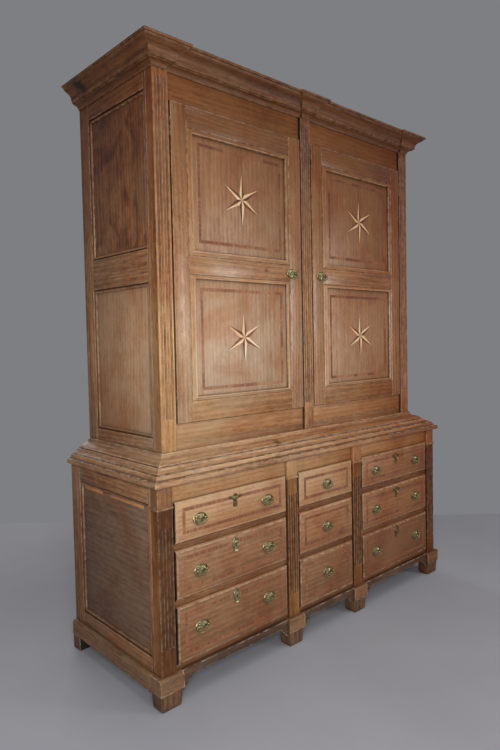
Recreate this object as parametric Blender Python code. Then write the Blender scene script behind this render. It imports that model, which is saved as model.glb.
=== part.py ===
"""Oak press cupboard: a two-door press with a shelf, standing on a base of nine drawers.

Built in metres with X to the right, Y from the front to the back and Z up. Sizes are laid out from the
middle of the base's front at floor level, and one empty carries everything so that the origin ends up
under the middle of the whole cupboard.
"""
import math

import bmesh
import bpy
from mathutils import Matrix, Vector

# Clearance between touching pieces
FIT = 0.0003
OVERLAP = 0.001

# Base case
BASE_WIDTH = 1.582
BASE_DEPTH = 0.582
SIDE_THICKNESS = 0.024
FACE_THICKNESS = 0.030
BACK_THICKNESS = 0.012
PARTITION_THICKNESS = 0.022
PILASTER_RELIEF = 0.010
BASE_CORNER_STILE = 0.056
BASE_MIDDLE_STILE = 0.053
CENTRE_OPENING = 0.337
BOTTOM_RAIL = 0.014
DRAWER_RAIL = 0.0175
TOP_RAIL = 0.053
BASE_PANEL_TOP_RAIL = 0.055
BASE_PANEL_BOTTOM_RAIL = 0.046
BASE_TOP_THICKNESS = 0.020

# Drawers, listed from the bottom row to the top row
DRAWER_HEIGHTS = (0.1855, 0.160, 0.134)
DRAWER_SIDE_GAP = 0.0065
DRAWER_EDGE_GAP = 0.002
DRAWER_RECESS = 0.001
DRAWER_FRONT_THICKNESS = 0.022
DRAWER_BEVEL = 0.007
DRAWER_WALL = 0.012
DRAWER_BOTTOM_THICKNESS = 0.008
DRAWER_BOTTOM_RAISE = 0.008
DRAWER_WALL_DROP = 0.012
DRAWER_BACK_ROOM = 0.025
RUNNER_HEIGHT = 0.014
GUIDE_HEIGHT = 0.012
GUIDE_PLAY = 0.001

# Plinth and feet
PLINTH_HEIGHT = 0.106
PLINTH_REACH = 0.0145
PLINTH_THICKNESS = 0.025
APRON_DEPTH = 0.026
SIDE_APRON_DEPTH = 0.056
FOOT_WIDTH = 0.088
MIDDLE_FOOT_WIDTH = 0.082
FOOT_DEPTH = 0.062
REAR_FOOT_DEPTH = 0.052
FOOT_TAPER = 0.008
BRACKET_WIDTH = 0.036
BRACKET_DROP = 0.034

# Waist moulding between base and press
WAIST_RISE = 0.068
WAIST_NOSE = 0.018
WAIST_NOSE_FLAT = 0.012
WAIST_NOSE_ROUND = 0.005
WAIST_LIP_DROP = 0.018

# Press case
PRESS_SIDE_STEP = 0.079
PRESS_SETBACK = 0.087
PRESS_CORNER_STILE = 0.060
PRESS_MIDDLE_STILE = 0.055
SILL_HEIGHT = 0.1553
HEAD_HEIGHT = 0.134
SIDE_STILE_FRONT = 0.013
SIDE_STILE_REAR = 0.067
SIDE_BOTTOM_RAIL = 0.110
SIDE_MIDDLE_RAIL = 0.108
SIDE_TOP_RAIL = 0.100
SIDE_LOWER_PANEL = 0.517
BOARD_THICKNESS = 0.018
SHELF_SETBACK = 0.030
SHELF_RISE = 0.530
CASE_TOP_THICKNESS = 0.016

# Cornice
CORNICE_HEIGHT = 0.076
CORNICE_REACH = 0.068
CORNICE_RISE = 0.030
CORNICE_BREAK_INSET = 0.014

# Doors
DOOR_HEIGHT = 1.0564
DOOR_THICKNESS = 0.026
DOOR_SIDE_GAP = 0.006
DOOR_EDGE_GAP = 0.002
DOOR_OUTER_STILE = 0.063
DOOR_MEETING_STILE = 0.0644
DOOR_TOP_RAIL = 0.0615
DOOR_MIDDLE_RAIL = 0.0695
DOOR_BOTTOM_RAIL = 0.077
DOOR_LOWER_PANEL = 0.4174
MOULDING_WIDTH = 0.0235
MOULDING_DEPTH = 0.002

# Panels let into grooves
PANEL_THICKNESS = 0.010
PANEL_RECESS = 0.008
DOOR_PANEL_RECESS = 0.004
GROOVE_DEPTH = 0.008

# Flutes of the pilasters
FLUTE_COUNT = 4
FLUTE_PITCH = 0.0122
FLUTE_RADIUS = 0.0048
FLUTE_DEPTH = 0.0036
PILASTER_BLOCK = 0.062
ASTRAGAL_HEIGHT = 0.008
ASTRAGAL_REACH = 0.004
NECK_HEIGHT = 0.058
PEDESTAL_HEIGHT = 0.084
PRESS_PEDESTAL = 0.106
PRESS_NECK = 0.020

# Brass handles: two posts and a swinging bail each
POST_SPACING = 0.040
POST_RADIUS = 0.0036
POST_LENGTH = 0.0125
PIVOT_STANDOFF = 0.0085
BAIL_WIRE = 0.0016
BAIL_PLAY = 0.0005
BAIL_SHOULDER = 0.0036
BAIL_BEND = 0.0025
BAIL_DROP = 0.024
BAIL_STEPS = 10
HANDLE_INSET = 0.098
HANDLE_DROPS = (0.085, 0.082, 0.067)
DOOR_HANDLE_INSET = 0.054
DOOR_HANDLE_RISE = 0.001

# Iron hinges
HINGE_LENGTH = 0.060
HINGE_INSET = 0.085
KNUCKLE_RADIUS = 0.0026
PIN_RADIUS = 0.0012
LEAF_THICKNESS = 0.0014
LEAF_DEPTH = 0.024
LEAF_START = 0.004

# Levels up the case, from the floor
FRAME_FOOT = PLINTH_HEIGHT + FIT
BASE_FRAME_TOP = (FRAME_FOOT + BOTTOM_RAIL + sum(DRAWER_HEIGHTS) + 2 * DRAWER_RAIL
                  + 2 * len(DRAWER_HEIGHTS) * DRAWER_EDGE_GAP + TOP_RAIL)
BASE_TOP = BASE_FRAME_TOP + FIT + BASE_TOP_THICKNESS
PRESS_FOOT = BASE_TOP + FIT
WAIST_TOP = BASE_TOP + WAIST_RISE
SILL = PRESS_FOOT + SILL_HEIGHT
SHELF_TOP = SILL + SHELF_RISE
DOOR_FOOT = SILL + DOOR_EDGE_GAP
DOOR_TOP = DOOR_FOOT + DOOR_HEIGHT
HEAD = DOOR_TOP + DOOR_EDGE_GAP
PRESS_FRAME_TOP = HEAD + HEAD_HEIGHT
CORNICE_TOP = PRESS_FRAME_TOP + CORNICE_RISE
CORNICE_FOOT = CORNICE_TOP - CORNICE_HEIGHT

# Planes from front to back
BASE_FACE = PILASTER_RELIEF
BASE_FACE_BACK = BASE_FACE + FACE_THICKNESS
DRAWER_FACE = DRAWER_RECESS
PRESS_FRONT = PRESS_SETBACK
PRESS_FACE = PRESS_FRONT + PILASTER_RELIEF
PRESS_FACE_BACK = PRESS_FACE + FACE_THICKNESS
DOOR_FACE = PRESS_FRONT
BACK_FACE = BASE_DEPTH - BACK_THICKNESS

# Half widths across the front
BASE_HALF = BASE_WIDTH / 2
PRESS_HALF = BASE_HALF - PRESS_SIDE_STEP
BASE_INNER = BASE_HALF - SIDE_THICKNESS
PRESS_INNER = PRESS_HALF - SIDE_THICKNESS
PARTITION_X = CENTRE_OPENING / 2 + BASE_MIDDLE_STILE / 2
DOOR_OUTER = PRESS_HALF - PRESS_CORNER_STILE - DOOR_SIDE_GAP
DOOR_INNER = PRESS_MIDDLE_STILE / 2 + DOOR_SIDE_GAP
HINGE_X = DOOR_OUTER + DOOR_SIDE_GAP / 2

ROWS = ("bottom", "middle", "top")
SIDES = (("left", -1), ("right", 1))
DRAWER_COLUMNS = (
    ("left", -(BASE_HALF - BASE_CORNER_STILE), -(CENTRE_OPENING / 2 + BASE_MIDDLE_STILE)),
    ("centre", -CENTRE_OPENING / 2, CENTRE_OPENING / 2),
    ("right", CENTRE_OPENING / 2 + BASE_MIDDLE_STILE, BASE_HALF - BASE_CORNER_STILE),
)


def row_floor(row):
    """Height of the rail that the drawers of a row run on."""
    rise = DRAWER_RAIL + 2 * DRAWER_EDGE_GAP
    return FRAME_FOOT + BOTTOM_RAIL + sum(DRAWER_HEIGHTS[:row]) + row * rise


# Empty scene, collections and the carrying empty
for old in list(bpy.data.objects):
    bpy.data.objects.remove(old, do_unlink=True)

parts = bpy.data.collections.new("press_cupboard")
cutters = bpy.data.collections.new("cutters")
for collection in (parts, cutters):
    bpy.context.scene.collection.children.link(collection)

root = bpy.data.objects.new("press_cupboard_origin", None)
root.location = (0, -(BASE_DEPTH - WAIST_NOSE) / 2, 0)
parts.objects.link(root)
case_origin = {root.name: Vector((0, 0, 0))}


def finish(name, colour, roughness, metallic=0.0):
    """One Principled material."""
    material = bpy.data.materials.new(name)
    material.use_nodes = True
    shader = material.node_tree.nodes["Principled BSDF"]
    shader.inputs["Base Color"].default_value = (*colour, 1)
    shader.inputs["Roughness"].default_value = roughness
    shader.inputs["Metallic"].default_value = metallic
    return material


oak_front = finish("waxed_oak_front", (0.34, 0.20, 0.11), 0.55)
oak_panel = finish("waxed_oak_panel", (0.36, 0.22, 0.13), 0.55)
oak_side = finish("aged_oak_side", (0.22, 0.13, 0.075), 0.60)
oak_moulding = finish("worn_oak_moulding", (0.28, 0.16, 0.09), 0.58)
oak_inside = finish("dry_oak_inside", (0.30, 0.20, 0.12), 0.75)
oak_drawer = finish("waxed_oak_drawer", (0.35, 0.21, 0.12), 0.55)
brass = finish("old_brass", (0.42, 0.36, 0.18), 0.40, 1.0)
iron = finish("dark_iron", (0.08, 0.07, 0.065), 0.55, 1.0)


def add_box(bm, low, high):
    """A block between two corners."""
    low, high = Vector(low), Vector(high)
    size = Matrix.Diagonal((*(high - low), 1))
    bmesh.ops.create_cube(bm, size=1, matrix=Matrix.Translation((low + high) / 2) @ size)


def add_taper(bm, low, high, inset):
    """A block whose underside is drawn in by the inset."""
    first = len(bm.verts)
    add_box(bm, low, high)
    bm.verts.ensure_lookup_table()
    for vertex in bm.verts[first:]:
        if vertex.co.z < (low[2] + high[2]) / 2:
            vertex.co.x += inset if vertex.co.x < (low[0] + high[0]) / 2 else -inset
            vertex.co.y += inset if vertex.co.y < (low[1] + high[1]) / 2 else -inset


def add_rod(bm, centre, radius, length, axis, sides=12):
    """A round bar along X, Y or Z."""
    turn = {"X": Matrix.Rotation(math.pi / 2, 4, "Y"), "Y": Matrix.Rotation(math.pi / 2, 4, "X"),
            "Z": Matrix.Identity(4)}[axis]
    bmesh.ops.create_cone(bm, cap_ends=True, segments=sides, radius1=radius, radius2=radius,
                          depth=length, matrix=Matrix.Translation(centre) @ turn)


def add_prism(bm, outline, front, back):
    """An outline seen from the front, given as (x, z) corners and pulled from front to back."""
    face = bm.faces.new([bm.verts.new((x, front, z)) for x, z in outline])
    pulled = bmesh.ops.extrude_face_region(bm, geom=[face])
    moved = [item for item in pulled["geom"] if isinstance(item, bmesh.types.BMVert)]
    bmesh.ops.translate(bm, verts=moved, vec=(0, back - front, 0))


def boxes(*corner_pairs):
    """Several separate blocks in one mesh."""
    bm = bmesh.new()
    for low, high in corner_pairs:
        add_box(bm, low, high)
    return bm


def place_object(obj, origin, carrier):
    """Puts an object's origin at a point of the case and hangs it on its carrier."""
    origin = Vector(origin)
    obj.parent = carrier
    obj.location = origin - case_origin[carrier.name]
    case_origin[obj.name] = origin
    parts.objects.link(obj)


def part(name, bm, material, origin=(0, 0, 0), carrier=root):
    """A named piece of the cupboard, drawn in case coordinates, with its origin moved to a point."""
    bmesh.ops.recalc_face_normals(bm, faces=bm.faces)
    mesh = bpy.data.meshes.new(name)
    bm.to_mesh(mesh)
    bm.free()
    mesh.transform(Matrix.Translation(-Vector(origin)))
    mesh.materials.append(material)
    obj = bpy.data.objects.new(name, mesh)
    place_object(obj, origin, carrier)
    return obj


def combine(target, bm, operation):
    """Adds a Boolean to a piece, with the other shape kept as a hidden wire guide."""
    bmesh.ops.recalc_face_normals(bm, faces=bm.faces)
    name = f"{target.name}_{operation.lower()}_{len(target.modifiers)}"
    mesh = bpy.data.meshes.new(name)
    bm.to_mesh(mesh)
    bm.free()
    tool = bpy.data.objects.new(name, mesh)
    tool.parent = root
    tool.hide_render = True
    tool.display_type = "WIRE"
    cutters.objects.link(tool)
    modifier = target.modifiers.new(operation.title(), "BOOLEAN")
    modifier.operation = operation
    modifier.object = tool


def add_moulding(bm, path, reach, profile, inner, inner_levels):
    """A mitred moulding: one ring of profile points at each corner of the path, skinned from ring to ring.

    A profile point is (share of the reach, extra reach, height); inner gives the hidden back of each ring.
    """
    rings = []
    for index, corner in enumerate(path):
        outward = []
        for first, last in ((index - 1, index), (index, index + 1)):
            if first >= 0 and last < len(path):
                along = (Vector(path[last]) - Vector(path[first])).normalized()
                outward.append(Vector((along.y, -along.x)))
        offset = outward[0] if outward[0] == outward[-1] else outward[0] + outward[-1]
        ring = [bm.verts.new((*inner[index], inner_levels[0]))]
        for share, extra, height in profile:
            x = corner[0] + offset.x * (share * reach[0] + extra)
            y = corner[1] + offset.y * (share * reach[1] + extra)
            ring.append(bm.verts.new((x, y, height)))
        ring.append(bm.verts.new((*inner[index], inner_levels[1])))
        rings.append(ring)
    for ring, following in zip(rings, rings[1:]):
        for index, vertex in enumerate(ring):
            after = (index + 1) % len(ring)
            bm.faces.new((vertex, ring[after], following[after], following[index]))
    bm.faces.new(rings[0])
    bm.faces.new(reversed(rings[-1]))
    bmesh.ops.remove_doubles(bm, verts=bm.verts, dist=FIT / 10)


def cut_flutes(target, centres, face, low, high):
    """Runs a set of parallel flutes up each pilaster."""
    bm = bmesh.new()
    for centre in centres:
        for number in range(FLUTE_COUNT):
            x = centre + (number - (FLUTE_COUNT - 1) / 2) * FLUTE_PITCH
            middle = (x, face + FLUTE_DEPTH - FLUTE_RADIUS, (low + high) / 2)
            add_rod(bm, middle, FLUTE_RADIUS, high - low, "Z", 10)
    combine(target, bm, "DIFFERENCE")


def groove_boxes(x_range, y_range, z_range, thin_axis):
    """An opening seen through a frame, widened by the groove's depth across its two wide directions."""
    ranges = [list(x_range), list(y_range), list(z_range)]
    for axis in range(3):
        if axis != thin_axis:
            ranges[axis][0] -= GROOVE_DEPTH
            ranges[axis][1] += GROOVE_DEPTH
    low, high = zip(*ranges)
    return low, high


def panel_boxes(x_range, y_range, z_range, thin_axis):
    """The board that sits in such a groove, clear of it all round."""
    low, high = groove_boxes(x_range, y_range, z_range, thin_axis)
    return [value + FIT for value in low], [value - FIT for value in high]


# Plinth: apron, side boards, back rail and six feet in one joined frame
def make_plinth():
    half = BASE_HALF + PLINTH_REACH
    front = -PLINTH_REACH
    apron_face = front + PILASTER_RELIEF
    apron_foot = PLINTH_HEIGHT - APRON_DEPTH
    side_foot = PLINTH_HEIGHT - SIDE_APRON_DEPTH
    foot_edges = [(-half, -half + FOOT_WIDTH), (half - FOOT_WIDTH, half)]
    foot_edges += [(side * PARTITION_X - MIDDLE_FOOT_WIDTH / 2, side * PARTITION_X + MIDDLE_FOOT_WIDTH / 2)
                   for side in (-1, 1)]
    foot_edges.sort()

    step = BRACKET_WIDTH / 3
    bracket = [(-OVERLAP, apron_foot - BRACKET_DROP), (step, apron_foot - BRACKET_DROP),
               (step, apron_foot - BRACKET_DROP / 2), (2 * step, apron_foot - BRACKET_DROP / 3),
               (BRACKET_WIDTH, apron_foot)]
    outline = [(-half, PLINTH_HEIGHT), (-half, apron_foot)]
    for (_, left), (right, _) in zip(foot_edges, foot_edges[1:]):
        outline += [(left + out, height) for out, height in bracket]
        outline += [(right - out, height) for out, height in reversed(bracket)]
    outline += [(half, apron_foot), (half, PLINTH_HEIGHT)]
    bm = bmesh.new()
    add_prism(bm, outline, apron_face, apron_face + PLINTH_THICKNESS)
    plinth = part("plinth", bm, oak_moulding)

    blocks = bmesh.new()
    for left, right in foot_edges:
        low, high = (left, front, 0), (right, front + FOOT_DEPTH, PLINTH_HEIGHT - OVERLAP)
        add_taper(blocks, low, high, FOOT_TAPER)
    for side in (-1, 1):
        edges = sorted((side * half, side * (half - FOOT_WIDTH)))
        low = (edges[0], BASE_DEPTH - REAR_FOOT_DEPTH, 0)
        add_box(blocks, low, (edges[1], BASE_DEPTH, PLINTH_HEIGHT - OVERLAP))
    combine(plinth, blocks, "UNION")

    boards = bmesh.new()
    for side in (-1, 1):
        edges = sorted((side * half, side * (half - PLINTH_THICKNESS)))
        low = (edges[0], apron_face + OVERLAP, side_foot)
        add_box(boards, low, (edges[1], BASE_DEPTH - OVERLAP, PLINTH_HEIGHT))
    combine(plinth, boards, "UNION")
    rail = boxes(((-half + OVERLAP, BASE_DEPTH - PLINTH_THICKNESS, side_foot),
                  (half - OVERLAP, BASE_DEPTH - 2 * OVERLAP, PLINTH_HEIGHT - 2 * OVERLAP)))
    combine(plinth, rail, "UNION")


# Base: panelled sides with runners, partitions, face frame, back and top
def runner_outline(wall, drawer_edge, floor, toward):
    """L section of a runner: a ledge under the drawer's side and a guide beside it."""
    tip = drawer_edge + toward * DRAWER_WALL
    guide = drawer_edge - toward * GUIDE_PLAY
    seat = wall - toward * OVERLAP
    return [(seat, floor - RUNNER_HEIGHT), (tip, floor - RUNNER_HEIGHT), (tip, floor),
            (guide, floor), (guide, floor + GUIDE_HEIGHT), (seat, floor + GUIDE_HEIGHT)]


def add_runners(target, faces):
    """Runners for every row, on each (wall, drawer edge, direction) given."""
    bm = bmesh.new()
    for wall, drawer_edge, toward in faces:
        for row in range(len(ROWS)):
            outline = runner_outline(wall, drawer_edge, row_floor(row), toward)
            add_prism(bm, outline, BASE_FACE_BACK + FIT, BACK_FACE - FIT)
    combine(target, bm, "UNION")


def make_side_frame(name, side, inner, outer, front, levels, openings, material):
    """A framed side with its openings and the grooves that hold the panels."""
    edges = sorted((side * inner, side * outer))
    frame = part(name, boxes(((edges[0], front, levels[0]), (edges[1], BASE_DEPTH, levels[1]))), material)
    panel_face = side * (outer - PANEL_RECESS)
    panel_back = panel_face - side * PANEL_THICKNESS
    groove_x = sorted((panel_face + side * FIT, panel_back - side * FIT))
    through = [edges[0] - OVERLAP, edges[1] + OVERLAP]
    holes, grooves = bmesh.new(), bmesh.new()
    for y_range, z_range in openings.values():
        low, high = zip(through, y_range, z_range)
        add_box(holes, low, high)
        add_box(grooves, *groove_boxes(groove_x, y_range, z_range, 0))
    combine(frame, holes, "DIFFERENCE")
    combine(frame, grooves, "DIFFERENCE")
    for panel_name, (y_range, z_range) in openings.items():
        part(panel_name, boxes(panel_boxes(groove_x, y_range, z_range, 0)), material)
    return frame


def make_base_sides():
    front = BASE_FACE_BACK + FIT
    y_range = (front + SIDE_STILE_FRONT, BASE_DEPTH - SIDE_STILE_REAR)
    z_range = (FRAME_FOOT + BASE_PANEL_BOTTOM_RAIL, BASE_FRAME_TOP - BASE_PANEL_TOP_RAIL)
    for word, side in SIDES:
        openings = {f"base_{word}_panel": (y_range, z_range)}
        frame = make_side_frame(f"base_{word}_frame", side, BASE_INNER, BASE_HALF, front,
                                (FRAME_FOOT, BASE_FRAME_TOP), openings, oak_side)
        drawer_edge = side * (BASE_HALF - BASE_CORNER_STILE - DRAWER_SIDE_GAP)
        add_runners(frame, [(side * BASE_INNER, drawer_edge, -side)])


def make_partitions():
    for word, side in SIDES:
        middle = side * PARTITION_X
        low = (middle - PARTITION_THICKNESS / 2, BASE_FACE_BACK + FIT, FRAME_FOOT)
        high = (middle + PARTITION_THICKNESS / 2, BACK_FACE - FIT, BASE_FRAME_TOP)
        partition = part(f"{word}_partition", boxes((low, high)), oak_inside)
        stile = BASE_MIDDLE_STILE / 2 + DRAWER_SIDE_GAP
        add_runners(partition, [(middle + toward * PARTITION_THICKNESS / 2, middle + toward * stile, toward)
                                for toward in (-1, 1)])


def make_base_face_frame():
    low, high = (-BASE_HALF, BASE_FACE, FRAME_FOOT), (BASE_HALF, BASE_FACE_BACK, BASE_FRAME_TOP)
    frame = part("base_face_frame", boxes((low, high)), oak_front)
    openings = bmesh.new()
    for _, left, right in DRAWER_COLUMNS:
        for row, height in enumerate(DRAWER_HEIGHTS):
            floor = row_floor(row)
            add_box(openings, (left, BASE_FACE - OVERLAP, floor),
                    (right, BASE_FACE_BACK + OVERLAP, floor + height + 2 * DRAWER_EDGE_GAP))
    combine(frame, openings, "DIFFERENCE")

    stiles = [(-BASE_HALF, -BASE_HALF + BASE_CORNER_STILE), (BASE_HALF - BASE_CORNER_STILE, BASE_HALF)]
    stiles += [(side * PARTITION_X - BASE_MIDDLE_STILE / 2, side * PARTITION_X + BASE_MIDDLE_STILE / 2)
               for side in (-1, 1)]
    pilasters, astragals = bmesh.new(), bmesh.new()
    block_foot = BASE_FRAME_TOP - PILASTER_BLOCK
    for left, right in stiles:
        add_box(pilasters, (left, 0, FRAME_FOOT), (right, BASE_FACE + OVERLAP, BASE_FRAME_TOP))
        low = (left, -ASTRAGAL_REACH, block_foot - ASTRAGAL_HEIGHT)
        add_box(astragals, low, (right, OVERLAP, block_foot))
    combine(frame, pilasters, "UNION")
    combine(frame, astragals, "UNION")
    flute_top = block_foot - ASTRAGAL_HEIGHT - NECK_HEIGHT
    centres = [(left + right) / 2 for left, right in stiles]
    cut_flutes(frame, centres, 0, FRAME_FOOT + PEDESTAL_HEIGHT, flute_top)


def make_base_boards():
    inner = BASE_INNER - FIT
    back = boxes(((-inner, BACK_FACE, FRAME_FOOT), (inner, BASE_DEPTH, BASE_FRAME_TOP)))
    part("base_back", back, oak_inside)
    top = boxes(((-BASE_HALF, 0, BASE_FRAME_TOP + FIT), (BASE_HALF, BASE_DEPTH, BASE_TOP)))
    part("base_top", top, oak_inside)


# Waist moulding: three mitred lengths round the foot of the press, lipped over the base's top
def make_waist_moulding():
    lip_foot = BASE_TOP - WAIST_LIP_DROP
    shoulder = WAIST_NOSE - WAIST_NOSE_ROUND
    lip = ((FIT, 0), (WAIST_NOSE_FLAT, 0), (shoulder, WAIST_NOSE_ROUND), (WAIST_NOSE, 2 * WAIST_NOSE_ROUND),
           (shoulder, WAIST_LIP_DROP + WAIST_NOSE_ROUND))
    # Shares of the ledge's width and of the rise, from the nose up to the press
    slope = ((1, 0.18), (0.88, 0.28), (0.62, 0.45), (0.55, 0.55), (0.48, 0.62), (0.18, 0.76),
             (0.10, 0.84), (0.07, 1))
    profile = [(1, FIT, BASE_TOP + FIT)]
    profile += [(1, extra, lip_foot + rise) for extra, rise in lip]
    profile += [(share, 0, BASE_TOP + rise * WAIST_RISE) for share, rise in slope]
    path = [(-PRESS_HALF, BASE_DEPTH), (-PRESS_HALF, PRESS_FRONT),
            (PRESS_HALF, PRESS_FRONT), (PRESS_HALF, BASE_DEPTH)]
    edge = PRESS_HALF + FIT
    inner = [(-edge, BASE_DEPTH), (-edge, PRESS_FACE - FIT), (edge, PRESS_FACE - FIT), (edge, BASE_DEPTH)]
    bm = bmesh.new()
    reach = (PRESS_SIDE_STEP, PRESS_SETBACK)
    add_moulding(bm, path, reach, profile, inner, (BASE_TOP + FIT, WAIST_TOP))
    part("waist_moulding", bm, oak_moulding)


# Press: panelled sides, face frame with three pilasters, back, boards and cornice
def make_press_sides():
    front = PRESS_FACE_BACK + FIT
    y_range = (front + SIDE_STILE_FRONT, BASE_DEPTH - SIDE_STILE_REAR)
    lower = (PRESS_FOOT + SIDE_BOTTOM_RAIL, PRESS_FOOT + SIDE_BOTTOM_RAIL + SIDE_LOWER_PANEL)
    upper = (lower[1] + SIDE_MIDDLE_RAIL, PRESS_FRAME_TOP - SIDE_TOP_RAIL)
    for word, side in SIDES:
        openings = {f"press_{word}_lower_panel": (y_range, lower),
                    f"press_{word}_upper_panel": (y_range, upper)}
        make_side_frame(f"press_{word}_frame", side, PRESS_INNER, PRESS_HALF, front,
                        (PRESS_FOOT, PRESS_FRAME_TOP), openings, oak_side)


def make_press_face_frame():
    low, high = (-PRESS_HALF, PRESS_FACE, PRESS_FOOT), (PRESS_HALF, PRESS_FACE_BACK, PRESS_FRAME_TOP)
    frame = part("press_face_frame", boxes((low, high)), oak_front)
    opening_edge = PRESS_HALF - PRESS_CORNER_STILE
    openings = bmesh.new()
    for side in (-1, 1):
        edges = sorted((side * PRESS_MIDDLE_STILE / 2, side * opening_edge))
        low = (edges[0], PRESS_FACE - OVERLAP, SILL)
        add_box(openings, low, (edges[1], PRESS_FACE_BACK + OVERLAP, HEAD))
    combine(frame, openings, "DIFFERENCE")
    stiles = [(-PRESS_HALF, -opening_edge), (-PRESS_MIDDLE_STILE / 2, PRESS_MIDDLE_STILE / 2),
              (opening_edge, PRESS_HALF)]
    pilasters = bmesh.new()
    for left, right in stiles:
        low = (left, PRESS_FRONT, WAIST_TOP + FIT)
        add_box(pilasters, low, (right, PRESS_FACE + OVERLAP, CORNICE_FOOT - FIT))
    combine(frame, pilasters, "UNION")
    centres = [(left + right) / 2 for left, right in stiles]
    cut_flutes(frame, centres, PRESS_FRONT, WAIST_TOP + PRESS_PEDESTAL, CORNICE_FOOT - PRESS_NECK)


def make_press_boards():
    inner = PRESS_INNER - FIT
    back = boxes(((-inner, BACK_FACE, PRESS_FOOT), (inner, BASE_DEPTH, PRESS_FRAME_TOP)))
    part("press_back", back, oak_inside)
    top = boxes(((-PRESS_HALF, PRESS_FACE, PRESS_FRAME_TOP + FIT),
                 (PRESS_HALF, BASE_DEPTH, PRESS_FRAME_TOP + FIT + CASE_TOP_THICKNESS)))
    part("press_top_board", top, oak_inside)
    board_front = PRESS_FACE_BACK + FIT
    levels = {"press_bottom_board": (SILL, board_front), "shelf": (SHELF_TOP, board_front + SHELF_SETBACK)}
    for name, (level, front) in levels.items():
        board = boxes(((-inner, front, level - BOARD_THICKNESS), (inner, BACK_FACE - FIT, level)))
        part(name, board, oak_inside)


def make_cornice():
    # Shares of the reach and of the height: bed moulding, fillet, cove and top fillet
    shape = ((0.05, 0), (0.10, 0.04), (0.20, 0.12), (0.32, 0.24), (0.42, 0.28), (0.44, 0.36),
             (0.55, 0.54), (0.72, 0.72), (0.90, 0.82), (0.92, 0.86), (1, 0.87), (1, 1))
    profile = [(reach, 0, CORNICE_FOOT + rise * CORNICE_HEIGHT) for reach, rise in shape]
    corner = PRESS_HALF - PRESS_CORNER_STILE + CORNICE_BREAK_INSET
    centre = PRESS_MIDDLE_STILE / 2 - CORNICE_BREAK_INSET
    left_half = [(-PRESS_HALF, PRESS_FRONT), (-corner, PRESS_FRONT), (-corner, PRESS_FACE),
                 (-centre, PRESS_FACE), (-centre, PRESS_FRONT)]
    breaks = left_half + [(-x, y) for x, y in reversed(left_half)]
    path = [(-PRESS_HALF, BASE_DEPTH)] + breaks + [(PRESS_HALF, BASE_DEPTH)]
    edge = PRESS_HALF + FIT
    inner = [(-edge, BASE_DEPTH), (-edge, PRESS_FACE - FIT)]
    inner += [(x, PRESS_FACE - FIT) for x, _ in breaks[1:-1]]
    inner += [(edge, PRESS_FACE - FIT), (edge, BASE_DEPTH)]
    bm = bmesh.new()
    add_moulding(bm, path, (CORNICE_REACH, CORNICE_REACH), profile, inner, (CORNICE_FOOT, CORNICE_TOP))
    part("cornice", bm, oak_moulding)


# Handles: posts fast in the front they serve, and a bail that swings between them
def add_posts(target, centres, face):
    """Two bored posts for each handle centre, standing out of a front."""
    posts, bores = bmesh.new(), bmesh.new()
    pivot = face - PIVOT_STANDOFF
    bore = (BAIL_WIRE + BAIL_PLAY) / math.cos(math.pi / 12)
    for x, z in centres:
        for side in (-1, 1):
            post_x = x + side * POST_SPACING / 2
            middle = face - POST_LENGTH / 2 + OVERLAP
            add_rod(posts, (post_x, middle, z), POST_RADIUS, POST_LENGTH + 2 * OVERLAP, "Y", 10)
            add_rod(bores, (post_x, pivot, z), bore, 3 * POST_RADIUS, "X", 12)
    combine(target, posts, "UNION")
    combine(target, bores, "DIFFERENCE")


def make_bail(name, x, z, face, carrier):
    """A bent wire whose ends turn inward through the posts, hanging in a half oval."""
    half = POST_SPACING / 2 + POST_RADIUS + BAIL_SHOULDER
    tip = POST_SPACING / 2 - POST_RADIUS
    turn = BAIL_BEND
    points = [(-tip, 0), (-half + turn, 0), (-half + 0.3 * turn, -0.3 * turn)]
    for step in range(BAIL_STEPS + 1):
        angle = math.pi + math.pi * step / BAIL_STEPS
        points.append((half * math.cos(angle), -turn + (BAIL_DROP - turn) * math.sin(angle)))
    points += [(half - 0.3 * turn, -0.3 * turn), (half - turn, 0), (tip, 0)]
    curve = bpy.data.curves.new(name, "CURVE")
    curve.dimensions = "3D"
    curve.bevel_depth = BAIL_WIRE
    curve.bevel_resolution = 1
    curve.use_fill_caps = True
    spline = curve.splines.new("POLY")
    spline.points.add(len(points) - 1)
    for point, (across, up) in zip(spline.points, points):
        point.co = (across, 0, up, 1)
    curve.materials.append(brass)
    place_object(bpy.data.objects.new(name, curve), (x, face - PIVOT_STANDOFF, z), carrier)


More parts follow.
